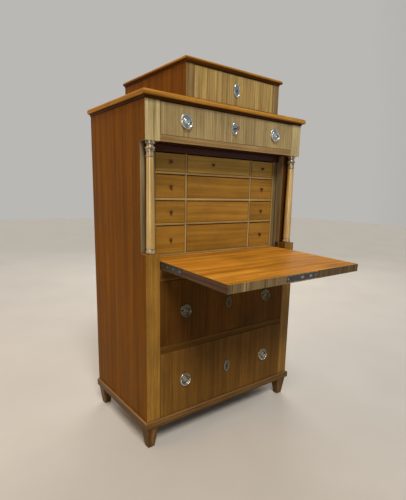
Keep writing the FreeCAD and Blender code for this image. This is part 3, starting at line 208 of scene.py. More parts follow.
class Recipe:
    """A material's node tree, written step by step."""

    def __init__(self, name: str) -> None:
        """Starts from a bare principled shader."""
        self.material = bpy.data.materials.new(name)
        self.material.use_nodes = True
        self.tree = self.material.node_tree
        self.shader = next(n for n in self.tree.nodes if n.type == "BSDF_PRINCIPLED")

    def add(self, kind: str, inputs: dict[str | int, object] | None = None, **settings: object) -> Node:
        """Adds a node.

        Args:
            kind: The node's type without its ShaderNode prefix.
            inputs: Sockets to link, or plain values to set, by name or number.
            **settings: The node's own properties.

        Returns:
            The new node.
        """
        node = self.tree.nodes.new(f"ShaderNode{kind}")
        for name, value in settings.items():
            setattr(node, name, value)
        for key, value in (inputs or {}).items():
            self.feed(node, key, value)
        return node

    def feed(self, node: Node, key: str | int, value: object) -> None:
        """Links a socket to a node's input, or sets a plain value there."""
        if isinstance(value, Socket):
            self.tree.links.new(value, node.inputs[key])
        else:
            node.inputs[key].default_value = value

    def maths(self, operation: str, first: Value, second: Value = 0.0, third: Value = 0.0) -> Socket:
        """Works out one sum of numbers."""
        return self.add("Math", {0: first, 1: second, 2: third}, operation=operation).outputs[0]

    def times(self, first: Value, second: Value, plus: Value = 0.0) -> Socket:
        """Multiplies two numbers and adds a third."""
        return self.maths("MULTIPLY_ADD", first, second, plus)

    def vector(self, x: Value, y: Value, z: Value) -> Socket:
        """Puts three numbers together as a vector."""
        return self.add("CombineXYZ", {0: x, 1: y, 2: z}).outputs[0]

    def stretched(self, parts: Sequence[Socket], along: float, across: float) -> Socket:
        """Scales grain coordinates along the grain, and alike across it and through it."""
        return self.vector(*(self.times(p, s) for p, s in zip(parts, (along, across, across))))

    def noise(self, vector: Socket, scale: float = 1.0, detail: float = 2.0, rough: float = 0.5) -> Socket:
        """Smooth noise from 0 to 1."""
        inputs = {"Vector": vector, "Scale": scale, "Detail": detail, "Roughness": rough}
        return self.add("TexNoise", inputs).outputs[0]

    def spread(self, value: Value, low: float, high: float, first: float = 0.0, last: float = 1.0) -> Socket:
        """Maps a value's stretch low to high onto first to last, and clamps it there."""
        return self.add("MapRange", {0: value, 1: low, 2: high, 3: first, 4: last}).outputs[0]

    def ramp(self, factor: Value, stops: Sequence[tuple[float, Colour]]) -> Socket:
        """Runs through colours at given places."""
        node = self.add("ValToRGB", {0: factor})
        band = node.color_ramp
        while len(band.elements) < len(stops):
            band.elements.new(1.0)
        for element, (place, colour) in zip(band.elements, stops):
            element.position = place
            element.color = linear(colour)
        return node.outputs[0]

    def blend(self, factor: Value, first: object, second: object, mode: str = "MIX") -> Socket:
        """Mixes two colours."""
        node = self.add("Mix", {0: factor, 6: first, 7: second}, data_type="RGBA", blend_type=mode)
        return node.outputs[2]

    def edge_mask(self, radius: float) -> Socket:
        """Rises from 0 on the flat to 1 on an edge."""
        soft = self.add("Bevel", {"Radius": radius}, samples=ROUND_SAMPLES).outputs[0]
        plain = self.add("NewGeometry").outputs["Normal"]
        same = self.add("VectorMath", {0: soft, 1: plain}, operation="DOT_PRODUCT").outputs["Value"]
        return self.spread(same, *EDGE_STOPS)

    def bump(self, height: Value, strength: float, distance: float) -> None:
        """Gives the shader a bump."""
        inputs = {"Height": height, "Strength": strength, "Distance": distance}
        self.feed(self.shader, "Normal", self.add("Bump", inputs).outputs[0])

    def constants(self, values: dict[str, float]) -> None:
        """Sets plain values on the shader's own sockets."""
        for name, value in values.items():
            self.shader.inputs[name].default_value = value


@dataclass(frozen=True)
class WoodFinish:
    """Polished wood: three colours of the grain and how it is striped, jointed and worn.

    stripe counts broad stripes to a metre, leaf is the width of a veneer leaf and 0 for solid wood, joint
    shifts the first joint by a share of a leaf, fine is how strong the fine lines are, figure how far the
    stripes wander from the straight, contrast how far they reach into the dark and the light colour, gloss
    the roughness of the polish, darkening how dark the corners are painted, as shade with some grime, and
    variety how far one board's tone may lie from another's.
    """

    name: str
    dark: Colour
    mid: Colour
    light: Colour
    stripe: float = 55.0
    fine: float = 0.45
    figure: float = 0.012
    contrast: float = 1.0
    leaf: float = 0.0
    joint: float = 0.5
    pores: float = 0.3
    wear: float = 0.35
    blotch: float = 0.25
    roughness: float = 0.42
    coat: float = 0.1
    gloss: float = 0.22
    specular: float = 0.2
    darkening: float = 0.6
    variety: tuple[float, float] = (0.88, 1.1)

    def deeper(self, part: int) -> tuple[float, float, float, float]:
        """Gives a part, such as a third, of the dark colour, for pores, joints and painted shade in corners.
        """
        return linear(tuple(c // part for c in self.dark))

    def grain_parts(self, recipe: Recipe) -> tuple[list[Socket], Value, Value]:
        """Reads the laid grain, book-matched leaf by leaf where there is veneer.

        Args:
            recipe: The material being written.

        Returns:
            The places along, across and through the grain, the number of the leaf, and the fine lines where
            leaves meet, 1 on a line.
        """
        laid = recipe.add("Attribute", attribute_name="grain").outputs["Vector"]
        along, across, through = recipe.add("SeparateXYZ", {0: laid}).outputs
        leaf: Value = 0.0
        joints: Value = 0.0
        if self.leaf:
            cell = recipe.maths("ADD", recipe.maths("DIVIDE", across, self.leaf), self.joint)
            leaf = recipe.maths("FLOOR", cell)
            away = recipe.maths("PINGPONG", recipe.maths("ADD", cell, 0.5), 0.5)
            gap = recipe.times(recipe.maths("SUBTRACT", 0.5, away), self.leaf)
            joints = recipe.spread(gap, *JOINT_STOPS)
            across = recipe.times(recipe.maths("PINGPONG", cell, 1.0), self.leaf)
            through = recipe.times(leaf, LEAF_SHIFT, through)
        sway = recipe.noise(recipe.stretched((along, across, through), SWAY_ALONG, SWAY_ACROSS))
        across = recipe.times(recipe.maths("SUBTRACT", sway, 0.5), self.figure, across)
        return [along, across, through], leaf, joints

    def tone(self, recipe: Recipe, leaf: Value, cloud: Socket) -> Socket:
        """Draws each board's and leaf's own tone at random, and clouds it."""
        board = recipe.add("Attribute", attribute_name="board").outputs["Fac"]
        seed = recipe.times(leaf, LEAF_SEED, recipe.times(board, BOARD_SEED))
        chance = recipe.add("TexWhiteNoise", {"W": seed}, noise_dimensions="1D").outputs["Value"]
        clouded = recipe.spread(cloud, *TONE_STOPS, 1 - self.blotch, 1 + self.blotch)
        tone = recipe.times(recipe.spread(chance, 0.0, 1.0, *self.variety), clouded)
        return recipe.vector(tone, tone, tone)

    @functools.cache
    def material(self) -> bpy.types.Material:
        """Writes the finish as a material, once."""
        recipe = Recipe(self.name)
        parts, leaf, joints = self.grain_parts(recipe)
        striped = recipe.stretched(parts, STRIPE_ALONG, self.stripe)
        lined = recipe.stretched(parts, LINE_ALONG, self.stripe * LINES_TO_STRIPE)
        ticked = recipe.stretched(parts, PORE_ALONG, PORE_ACROSS)
        clouded = recipe.stretched(parts, CLOUD_ALONG, CLOUD_ACROSS)
        broad, cloud = (recipe.noise(v, detail=BROAD_DETAIL, rough=LIVELY) for v in (striped, clouded))
        lines = recipe.noise(lined, rough=LIVELY)
        ticks = recipe.noise(ticked, detail=1.0)
        pore = recipe.spread(ticks, *PORE_STOPS)
        shade = recipe.times(recipe.maths("SUBTRACT", lines, 0.5), self.fine, broad)
        reach = COLOUR_REACH / self.contrast
        colour = recipe.ramp(shade, [(0.5 - reach, self.dark), (0.5, self.mid), (0.5 + reach, self.light)])
        colour = recipe.blend(1.0, colour, self.tone(recipe, leaf, cloud), "MULTIPLY")
        worn = recipe.spread(cloud, *CLOUD_STOPS, LEAST_WEAR, 1.0)
        edge = recipe.times(recipe.edge_mask(WEAR_REACH), worn)
        colour = recipe.blend(recipe.times(edge, self.wear), colour, linear(self.light))
        colour = recipe.blend(recipe.times(pore, self.pores), colour, self.deeper(PORE_PART))
        if self.leaf:
            colour = recipe.blend(recipe.times(joints, JOINT_DARKNESS), colour, self.deeper(PORE_PART))
        # Painted shade: ambient occlusion darkens corners, gaps and grooves, standing for the shade that
        # falls there, with some grime
        inputs = {"Distance": SHADE_AND_GRIME_REACH}
        corner = recipe.add("AmbientOcclusion", inputs, samples=ROUND_SAMPLES).outputs["AO"]
        hollow_darkening = recipe.spread(corner, *SHADE_AND_GRIME_STOPS, 0.0, self.darkening)
        recipe.feed(recipe.shader, "Base Color", recipe.blend(hollow_darkening, colour, self.deeper(SHADE_AND_GRIME_PART)))
        dull = recipe.spread(cloud, *CLOUD_STOPS, *(self.roughness + change for change in WOOD_DULLING))
        recipe.feed(recipe.shader, "Roughness", recipe.times(pore, PORE_DULLNESS, dull))
        polish = {"Coat Weight": self.coat, "Coat Roughness": self.gloss, "Specular IOR Level": self.specular}
        recipe.constants(polish)
        recipe.bump(recipe.maths("SUBTRACT", recipe.times(lines, 0.5), pore), *WOOD_BUMP)
        return recipe.material


@dataclass(frozen=True)
class MetalFinish:
    """Worn metal: a bright colour, the tarnish that lies in its hollows and over it, and its polish."""

    name: str
    bright: Colour
    tarnish: Colour
    share: float = 0.5
    roughness: float = 0.3
    spots: float = 260.0
    metallic: float = 1.0

    @functools.cache
    def material(self) -> bpy.types.Material:
        """Writes the finish as a material, once."""
        recipe = Recipe(self.name)
        place = recipe.add("TexCoord").outputs["Object"]
        patch = recipe.noise(place, self.spots, PATCH_DETAIL, PATCHY)
        scratch = recipe.noise(place, self.spots * SCRATCHES_TO_SPOT, rough=LIVELY)
        inputs = {"Distance": TARNISH_REACH}
        hollow = recipe.add("AmbientOcclusion", inputs, samples=ROUND_SAMPLES, only_local=True)
        hollow_darkening = recipe.spread(hollow.outputs["AO"], *TARNISH_STOPS)
        darkening = recipe.maths("MAXIMUM", recipe.spread(patch, *PATCH_STOPS, 0.0, self.share), hollow_darkening)
        colour = recipe.blend(darkening, linear(self.bright), linear(self.tarnish))
        recipe.feed(recipe.shader, "Base Color", colour)
        dull = recipe.spread(scratch, *CLOUD_STOPS, *(self.roughness + change for change in METAL_DULLING))
        recipe.feed(recipe.shader, "Roughness", recipe.times(darkening, TARNISH_DULLNESS, dull))
        recipe.constants({"Metallic": self.metallic})
        recipe.bump(recipe.times(scratch, SCRATCH_BUMP, patch), *METAL_BUMP)
        return recipe.material


@dataclass(frozen=True)
class FloorFinish:
    """A plain pale floor with the least unevenness."""

    pale: Colour = (186, 184, 180)
    darker: Colour = (179, 177, 173)
    clouds: float = 1.7
    roughness: float = 0.6
    dull_stops: tuple[float, float] = (0.2, 0.8)

    def material(self) -> bpy.types.Material:
        """Writes the finish as a material."""
        recipe = Recipe("pale_floor")
        place = recipe.add("TexCoord").outputs["Object"]
        cloud = recipe.noise(place, self.clouds, PATCH_DETAIL, LIVELY)
        colour = recipe.ramp(cloud, list(zip(CLOUD_STOPS, (self.darker, self.pale))))
        recipe.feed(recipe.shader, "Base Color", colour)
        dull = recipe.spread(cloud, *self.dull_stops, *(self.roughness + change for change in FLOOR_DULLING))
        recipe.feed(recipe.shader, "Roughness", dull)
        return recipe.material


# Partly painted light: the sides' saturated orange stands for warm light bounced onto them, besides the
# wood's own colour
SIDE_WOOD = WoodFinish(
    "side_wood", (82, 50, 8), (107, 66, 11), (132, 85, 20), stripe=42, figure=0.02, coat=0.0,
    specular=0.04, contrast=0.55, blotch=0.15, roughness=0.5
)
# Partly painted light: the front veneer is a little greyer than the wood, for a cool sheen
FRONT_VENEER = WoodFinish(
    "front_veneer", (97, 80, 48), (153, 133, 88), (196, 177, 128), stripe=120, fine=1.2, leaf=DRAWER_LEAF,
    contrast=0.48
)
# Painted shade: darker copies of the front veneer for the two drawers under the flap, the upper one darker
# still, standing for the flap's shadow
LOWER_SHADED_VENEER = WoodFinish(
    "lower_veneer", (74, 49, 17), (103, 71, 27), (132, 96, 43), stripe=80, fine=1.0, leaf=DRAWER_LEAF,
    contrast=0.42, coat=0.0, specular=0.05, roughness=0.5
)
UPPER_SHADED_VENEER = WoodFinish(
    "upper_veneer", (60, 36, 9), (84, 52, 14), (110, 73, 27), stripe=80, fine=1.0, leaf=DRAWER_LEAF,
    contrast=0.42, coat=0.0, specular=0.04, roughness=0.5
)
ATTIC_VENEER = WoodFinish(
    "attic_veneer", (106, 80, 41), (163, 135, 76), (204, 176, 110), stripe=110, fine=1.2, leaf=0.2145,
    joint=0.0, contrast=0.62
)
# Partly painted light: the blocks' veneer is paler, greyer and bluer than the front veneer, for light and a
# cool sheen on them
BLOCK_VENEER = WoodFinish(
    "block_veneer", (124, 106, 66), (177, 160, 112), (214, 198, 152), stripe=120, fine=1.4, contrast=0.7
)
# Partly painted shade: the lower posts' veneer is darker than the veneer above, for their lower place in less
# light
POST_VENEER = WoodFinish(
    "post_veneer", (98, 66, 20), (132, 95, 34), (166, 126, 58), stripe=90, fine=0.8, contrast=0.5,
    specular=0.1
)
RAIL_VENEER = WoodFinish(
    "rail_veneer", (100, 75, 40), (138, 111, 66), (174, 147, 96), stripe=60, fine=0.6, contrast=0.6
)
# Painted shade: a darker copy of the rail veneer for the rails below the flap, in its shadow
LOW_RAIL_SHADED_VENEER = WoodFinish(
    "low_rail_veneer", (62, 40, 10), (90, 60, 18), (120, 85, 34), stripe=60, fine=0.6, contrast=0.6,
    coat=0.0, specular=0.05
)
TOP_WOOD = WoodFinish(
    "top_wood", (108, 70, 20), (154, 107, 38), (194, 144, 68), stripe=60, figure=0.016, wear=0.6,
    contrast=0.8, coat=0.0, specular=0.05, roughness=0.5
)
# Painted shade: dark wood for faces where shade falls, under the cornice's nosing, round the nest's shelves
# and drawer fronts, and on the jambs' fronts
PAINTED_SHADE_WOOD = WoodFinish(
    "under_wood", (48, 26, 5), (72, 42, 11), (98, 62, 20), stripe=60, wear=0.1, coat=0.0, specular=0.04
)
# Painted shade under the attic top's nosing, less dark than under the cornice
ATTIC_PAINTED_SHADE = WoodFinish(
    "attic_under", (66, 38, 9), (98, 60, 18), (126, 84, 32), stripe=60, wear=0.1, coat=0.0, specular=0.04
)
# Painted highlight: a paler copy of the base wood on the base moulding's upward faces, where light catches
# them
BASE_LIT_TOP = WoodFinish(
    "base_edge", (84, 58, 30), (120, 87, 51), (162, 126, 86), stripe=70, wear=0.8, contrast=0.7
)
BASE_WOOD = WoodFinish(
    "base_wood", (60, 40, 15), (86, 60, 26), (136, 99, 52), stripe=70, wear=0.8, contrast=0.7, coat=0.04,
    specular=0.1
)
FLAP_WOOD = WoodFinish(
    "flap_wood", (140, 89, 23), (179, 120, 37), (206, 150, 61), stripe=34, figure=0.03, blotch=0.3,
    coat=0.0, specular=0.03, contrast=0.7, roughness=0.5
)
EDGE_VENEER = WoodFinish(
    "edge_veneer", (78, 60, 34), (122, 99, 62), (164, 141, 98), stripe=180, fine=0.7, wear=0.6,
    roughness=0.5
)
# Painted shade: a darker copy of the edge veneer for the flap's front edge beyond the lock
SHADED_EDGE_VENEER = WoodFinish(
    "pieced_edge", (50, 38, 18), (80, 62, 33), (116, 92, 54), stripe=180, fine=0.7, wear=0.5,
    roughness=0.5
)
END_VENEER = WoodFinish(
    "end_veneer", (56, 36, 18), (88, 60, 32), (126, 94, 58), stripe=160, wear=0.6, roughness=0.5
)
NEST_WOOD = WoodFinish(
    "nest_wood", (110, 76, 23), (149, 108, 38), (179, 136, 60), stripe=70, figure=0.03, blotch=0.2,
    contrast=0.45, variety=(0.97, 1.03), coat=0.05, specular=0.1
)
# Painted light: a paler copy of the nest wood for the top row, which the frieze shades
NEST_LIGHTENED_WOOD = WoodFinish(
    "nest_head_wood", (132, 100, 40), (172, 138, 60), (202, 168, 88), stripe=70, figure=0.03, blotch=0.2,
    contrast=0.45, variety=(0.97, 1.03), coat=0.05, specular=0.1
)
NEST_EDGE = WoodFinish(
    "nest_edge", (124, 97, 52), (164, 134, 80), (196, 168, 114), stripe=90, wear=0.5, contrast=0.6
)
COLUMN_WOOD = WoodFinish(
    "column_wood", (138, 107, 56), (182, 152, 88), (216, 190, 130), stripe=80, roughness=0.3, coat=1.0,
    gloss=0.16, contrast=0.7
)
# Its grooves take the fullest painted shade in corners
RING_WOOD = WoodFinish(
    "ring_wood", (92, 79, 54), (146, 129, 95), (194, 178, 142), stripe=80, roughness=0.22, coat=1.0,
    gloss=0.08, specular=0.5, darkening=1.0
)
# Partly painted light: the jambs' grey tone stands in part for a reflection on their polish
JAMB_WOOD = WoodFinish(
    "jamb_wood", (84, 72, 46), (130, 114, 80), (170, 152, 112), stripe=60, roughness=0.32, coat=0.4
)
STRIP_WOOD = WoodFinish(
    "strip_wood", (72, 60, 40), (112, 97, 70), (150, 134, 103), stripe=90, roughness=0.36, coat=0.3
)
# Painted shade: near black, for the rails' undersides and the flap's stop lath in the shade under the frieze
SHADED_LATH_WOOD = WoodFinish("lath_wood", (34, 11, 1), (54, 19, 3), (76, 32, 8), stripe=60)
DRAWER_WOOD = WoodFinish(
    "drawer_wood", (134, 102, 56), (176, 143, 90), (206, 176, 124), stripe=46, figure=0.03, roughness=0.6,
    coat=0.0, specular=0.1, wear=0.2, contrast=0.7
)
CORE_WOOD = WoodFinish(
    "core_wood", (70, 48, 24), (104, 76, 42), (138, 106, 64), stripe=70, coat=0.0, specular=0.1
)
BOARD_WOOD = WoodFinish(
    "board_wood", (84, 58, 34), (124, 92, 58), (158, 124, 84), stripe=36, figure=0.04, blotch=0.25,
    roughness=0.7, coat=0.0, specular=0.1, wear=0.2, contrast=0.6
)
KNOB_WOOD = WoodFinish(
    "knob_wood", (48, 26, 12), (82, 47, 22), (116, 72, 38), stripe=300, roughness=0.3, coat=0.4
)
SILVER = MetalFinish("plate_metal", (212, 216, 214), (92, 88, 76), share=0.4, roughness=0.24)
# Painted reflection: a pale cool copy of the rosettes' sunk ring for the frieze drawer, standing for a
# reflection
PAINTED_REFLECTION_HOLLOW = MetalFinish("bright_hollow", (150, 166, 174), (58, 60, 60), share=0.6, roughness=0.32)
# Painted shade: a half shaded copy of the silver for the lower drawer under the flap
HALF_SHADED_SILVER = MetalFinish("worn_silver", (172, 170, 158), (70, 64, 52), share=0.5, roughness=0.28)
TARNISH = MetalFinish("plate_hollow", (112, 110, 100), (40, 36, 28), share=0.7, roughness=0.36)
PLATE_FACE = MetalFinish("plate_face", (156, 156, 150), (70, 64, 52), share=0.6, roughness=0.3)
# Painted shade: darker copies of the plate face for the lower drawer, half shaded, and the upper drawer,
# shaded, under the flap
HALF_SHADED_PLATE = MetalFinish("dark_plate", (104, 102, 90), (38, 34, 26), share=0.75, roughness=0.34)
SHADED_PLATE = MetalFinish("shaded_plate", (78, 70, 56), (28, 23, 17), share=0.8, roughness=0.38)
BAIL_METAL = MetalFinish("bail_metal", (228, 230, 226), (120, 112, 92), share=0.25, roughness=0.2)
# Painted shade: a shaded copy of the silver for the upper drawer's metal and bails under the flap
SHADOWED_SILVER = MetalFinish("dull_silver", (114, 106, 84), (46, 39, 28), share=0.6, roughness=0.34)
IRON = MetalFinish(
    "iron", (88, 90, 92), (44, 40, 36), share=0.8, roughness=0.44, spots=160.0, metallic=0.9
)
STEEL = MetalFinish("bolt_steel", (168, 164, 156), (84, 76, 66), share=0.5, roughness=0.34)
FLOOR = FloorFinish()


# Pieces


@dataclass(frozen=True)
class Skin:
    """A finish, and the way its grain lies on a face."""

    finish: WoodFinish | MetalFinish
    grain: Grain = Grain.LEVEL_TOP


Paint = Callable[[Vector, Vector], Skin]


@dataclass(frozen=True)
class Solid:
    """One closed board or fitting of a CAD node: its points, its triangles and their numbers in the node."""

    points: np.ndarray
    faces: np.ndarray
    numbers: range

    @property
    def middle(self) -> Vector:
        """The middle of its box."""
        return Vector((self.points.min(0) + self.points.max(0)) / 2)

    @property
    def size(self) -> Vector:
        """The size of its box."""
        return Vector(self.points.max(0) - self.points.min(0))


@functools.cache
def solids_of(node: str) -> tuple[Solid, ...]:
    """Parts a CAD node into its closed solids, in the order in which they were built.

    Args:
        node: The node's name.

    Returns:
        The solids. One ends where every edge of its triangles has met its opposite.
    """
    mesh = frame["nodes"][node].data
    flat = np.empty(len(mesh.vertices) * 3)
    mesh.vertices.foreach_get("co", flat)
    corners = np.empty(len(mesh.polygons) * 3, int)
    mesh.polygons.foreach_get("vertices", corners)
    points, weld = np.unique(np.round(flat.reshape(-1, 3) / WELD).astype(int), axis=0, return_inverse=True)
    triangles = weld.reshape(-1)[corners].reshape(-1, 3)
    found: list[Solid] = []
    unmet: set[tuple[int, int]] = set()
    begin = 0
    for number, triangle in enumerate(triangles.tolist()):
        for start, end in zip(triangle, triangle[1:] + triangle[:1]):
            if (end, start) in unmet:
                unmet.remove((end, start))
            elif start != end:
                unmet.add((start, end))
        if not unmet:
            used, own = np.unique(triangles[begin : number + 1], return_inverse=True)
            found.append(Solid(points[used] * WELD, own.reshape(-1, 3), range(begin, number + 1)))
            begin = number + 1
    return tuple(found)


def facing(point: Sequence[float], direction: Sequence[float]) -> Matrix:
    """Places a fitting at a point with its own +Z along a direction."""
    return Matrix.Translation(point) @ Vector(direction).to_track_quat("Z", "Y").to_matrix().to_4x4()


def between(before: float, here: float, there: float, after: float, t: float) -> float:
    """Runs smoothly from here, at t of 0, to there, at 1, led by the values before and after."""
    bend = 2 * before - 5 * here + 4 * there - after
    turn = 3 * (here - there) + after - before
    return here + ((there - before) * t + bend * t**2 + turn * t**3) / 2


def rounded_line(points: Line, steps: int = 3) -> Line:
    """Draws a smooth line through the corners of a turned profile.

    Args:
        points: Radius and height of each corner.
        steps: Points to each stretch.

    Returns:
        The line's points, the corners among them.
    """
    line: list[tuple[float, float]] = []
    ends = [points[0], *points, points[-1]]
    for before, here, there, after in zip(ends, ends[1:], ends[2:], ends[3:]):
        for step in range(steps):
            t = step / steps
            line.append(tuple(between(*values, t) for values in zip(before, here, there, after)))
    return [(max(radius, 0.0), height) for radius, height in [*line, points[-1]]]


def grain_shift(chance: random.Random) -> tuple[float, float, float]:
    """Shifts a board's grain at random, along it and through it, so that no two boards match."""
    return chance.uniform(0, BOARD_SHIFT), 0.0, chance.uniform(0, BOARD_SHIFT)


def grain_place(point: Vector, middle: Vector, shift: Sequence[float], grain: Grain) -> list[float]:
    """Tells where a point lies along, across and through a board's shifted grain."""
    return [point[axis] - middle[axis] + move for axis, move in zip(grain.value, shift)]


def keep_grain(mesh: bpy.types.Mesh, grain: Sequence[float], boards: Sequence[float]) -> None:
    """Keeps the laid grain of each face's corners, and each board's own chance, with a mesh."""
    mesh.attributes.new("grain", "FLOAT_VECTOR", "CORNER").data.foreach_set("vector", grain)
    mesh.attributes.new("board", "FLOAT", "POINT").data.foreach_set("value", boards)


class Stock:
    """Boards and fittings gathered into one mesh, each with grain of its own."""

    def __init__(self, name: str, axes: Matrix | None = None) -> None:
        """Starts an empty piece; axes is the frame that its grain and its faces are told in."""
        self.name = name
        self.inward = (axes or Matrix.Identity(4)).inverted()
        self.chance = random.Random(name)
        self.points: list[Vector] = []
        self.faces: list[list[int]] = []
        self.slots: list[int] = []
        self.grain: list[float] = []
        self.boards: list[float] = []
        self.materials: list[bpy.types.Material] = []

    def add(self, points: Sequence[Vector], faces: Sequence[Sequence[int]], skin: Skin | Paint) -> None:
        """Adds one board or fitting.

        Args:
            points: Its points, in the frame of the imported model.
            faces: Its faces, as numbers of points.
            skin: Its skin, or a choice of skin by a face's middle and normal in the piece's own axes.
        """
        start = len(self.points)
        local = [self.inward @ Vector(p) for p in points]
        middle = Vector([(min(p[i] for p in local) + max(p[i] for p in local)) / 2 for i in range(3)])
        shift = grain_shift(self.chance)
        self.boards += [self.chance.random()] * len(local)
        self.points += [Vector(p) for p in points]
        for face in faces:
            corners = [local[i] for i in face]
            chosen = skin
            if not isinstance(skin, Skin):
                chosen = skin(sum(corners, Vector()) / len(corners), face_normal(corners))
            material = chosen.finish.material()
            if material not in self.materials:
                self.materials.append(material)
            self.slots.append(self.materials.index(material))
            self.faces.append([start + i for i in face])
            for corner in corners:
                self.grain += grain_place(corner, middle, shift, chosen.grain)

    def lay(
        self, solid: Solid, skin: Skin | Paint, soften: float = SOFT_EDGE, parted: float | None = None
    ) -> None:
        """Adds a CAD solid with its sharp edges softened.

        Args:
            solid: The solid.
            skin: Its skin, or a choice of skin by a face.
            soften: How far an edge is rounded.
            parted: The place along X where its faces are parted, so that each part may have a skin.
        """
        form = bmesh.new()
        points = [form.verts.new(p) for p in solid.points]
        for face in solid.faces.tolist():
            form.faces.new([points[i] for i in face])
        bmesh.ops.dissolve_limit(form, angle_limit=FLAT_WITHIN, verts=form.verts, edges=form.edges)
        sharp = [e for e in form.edges if len(e.link_faces) == 2 and e.calc_face_angle() > SHARP_FROM]
        bmesh.ops.bevel(
            form, geom=sharp, offset=soften, segments=2, profile=0.5, affect="EDGES", clamp_overlap=True
        )
        if parted is not None:
            whole = [*form.verts, *form.edges, *form.faces]
            bmesh.ops.bisect_plane(form, geom=whole, plane_co=(parted, 0, 0), plane_no=(1, 0, 0))
        form.verts.index_update()
        self.add([v.co.copy() for v in form.verts], [[v.index for v in f.verts] for f in form.faces], skin)
        form.free()

    def turn(self, line: Line, place: Matrix, skin: Skin, segments: int = TURNED_SIDES) -> None:
        """Adds a turned form.

        Args:
            line: Radius and height along its profile, from its foot to its top.
            place: Where its foot stands, with its axis along +Z.
            skin: Its skin.
            segments: Sides to a turn.
        """
        points = [place @ Vector((0, 0, line[0][1]))]
        for radius, height in line[1:-1]:
            for step in range(segments):
                angle = math.tau * step / segments
                points.append(place @ Vector((radius * math.cos(angle), radius * math.sin(angle), height)))
        points.append(place @ Vector((0, 0, line[-1][1])))
        rings = len(line) - 2
        last = len(points) - 1
        faces: list[list[int]] = []
        for step in range(segments):
            after = (step + 1) % segments
            faces.append([0, 1 + after, 1 + step])
            for ring in range(rings - 1):
                low, high = 1 + ring * segments, 1 + (ring + 1) * segments
                faces.append([low + step, low + after, high + after, high + step])
            top = 1 + (rings - 1) * segments
            faces.append([top + step, top + after, last])
        self.add(points, faces, skin)

    def screw(self, place: Matrix, radius: float, rise: float) -> None:
        """Adds a slotted screw head: two half rounds over a sunk floor, the slot turned at random.

        Args:
            place: Where its foot stands, with its axis along +Z.
            radius: Its radius.
            rise: How far it stands out.
        """
        skin = Skin(STEEL)
        spun = place @ Matrix.Rotation(self.chance.uniform(0, math.pi), 4, "Z")
        inner, sunk = radius * SCREW_FLOOR, rise * SCREW_DEPTH
        self.turn([(0.0, 0.0), (inner, 0.0), (inner, sunk), (0.0, sunk)], spun, skin, SCREW_SIDES)
        lean = math.asin(SCREW_SLOT / radius)
        crown = radius * SCREW_CROWN
        for half in (0.0, math.pi):
            angles = np.linspace(lean, math.pi - lean, SCREW_STEPS) + half
            low = [spun @ Vector((radius * math.cos(a), radius * math.sin(a), 0)) for a in angles]
            high = [spun @ Vector((crown * math.cos(a), crown * math.sin(a), rise)) for a in angles]
            count = len(low)
            sides = [[i, (i + 1) % count, count + (i + 1) % count, count + i] for i in range(count)]
            self.add(low + high, [*sides, list(range(count, 2 * count)), list(range(count))[::-1]], skin)

    def deliver(self, body: str, slot: Slot, *nodes: str) -> None:
        """Makes the piece and lets it ride on a body.

        Args:
            body: The body that carries it.
            slot: The record's material slot, passed on but not used.
            *nodes: CAD nodes that it stands for.
        """
        mesh = bpy.data.meshes.new(self.name)
        mesh.from_pydata(self.points, [], self.faces)
        for material in self.materials:
            mesh.materials.append(material)
        mesh.polygons.foreach_set("material_index", self.slots)
        mesh.polygons.foreach_set("use_smooth", [True] * len(self.faces))
        keep_grain(mesh, self.grain, self.boards)
        mesh.set_sharp_from_angle(angle=SHADED_APART)
        present(mesh, body, slot, *nodes)


def place_object(name: str, data: bpy.types.ID) -> bpy.types.Object:
    """Makes an object of a mesh, a light or a camera, and puts it in the scene."""
    made = bpy.data.objects.new(name, data)
    bpy.context.scene.collection.objects.link(made)
    return made


def present(mesh: bpy.types.Mesh, body: str, slot: Slot, *nodes: str) -> None:
    """Puts a piece in the scene, on its body, for the CAD nodes that it stands for."""
    piece = place_object(mesh.name, mesh)
    if nodes:
        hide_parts(*nodes)
    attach(piece, body)
    LOG.info("%s: %d faces on %s", piece.name, len(mesh.polygons), body)


def dress(node: str, body: str, slot: Slot, skin: Skin | Paint, soften: float = SOFT_EDGE) -> None:
    """Lays all boards of a CAD node in one skin, as one piece.

    Args:
        node: The node's name.
        body: The body that carries it.
        slot: The record's material slot, passed on but not used.
        skin: Its skin, or a choice of skin by a face.
        soften: How far an edge is rounded.
    """
    stock = Stock(f"{node}_dressed")
    for solid in solids_of(node):
        stock.lay(solid, skin, soften)
    stock.deliver(body, slot, node)


def carry(node: str, body: str, slot: Slot, paint: Callable[[int, Vector, Vector], Skin]) -> None:
    """Copies a CAD node with its own smooth shading, and lays skins on its faces.

    Args:
        node: The node's name.
        body: The body that carries it.
        slot: The record's material slot, passed on but not used.
        paint: A choice of skin by the number of the solid and a face's middle and normal.
    """
    mesh = frame["nodes"][node].data.copy()
    mesh.name = f"{node}_dressed"
    mesh.materials.clear()
    chance = random.Random(node)
    grain = np.zeros((len(mesh.loops), 3), np.float32)
    boards = np.zeros(len(mesh.vertices), np.float32)
    for number, solid in enumerate(solids_of(node)):
        middle = solid.middle
        shift = grain_shift(chance)
        tone = chance.random()
        for face in (mesh.polygons[i] for i in solid.numbers):
            chosen = paint(number, face.center, face.normal)
            material = chosen.finish.material()
            if mesh.materials.find(material.name) < 0:
                mesh.materials.append(material)
            face.material_index = mesh.materials.find(material.name)
            for loop, vertex in zip(face.loop_indices, face.vertices):
                grain[loop] = grain_place(mesh.vertices[vertex].co, middle, shift, chosen.grain)
                boards[vertex] = tone
    keep_grain(mesh, grain.reshape(-1), boards)
    present(mesh, body, slot, node)


def coat(node: str, finish: MetalFinish) -> None:
    """Gives a CAD node that keeps its own shape its finish."""
    shown = frame["nodes"][node]
    shown.data.materials.clear()
    shown.data.materials.append(finish.material())
    LOG.info("%s: %s", node, finish.name)


def joint(name: str) -> dict:
    """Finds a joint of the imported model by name."""
    return next(j for j in frame["joints"] if j["name"] == name)


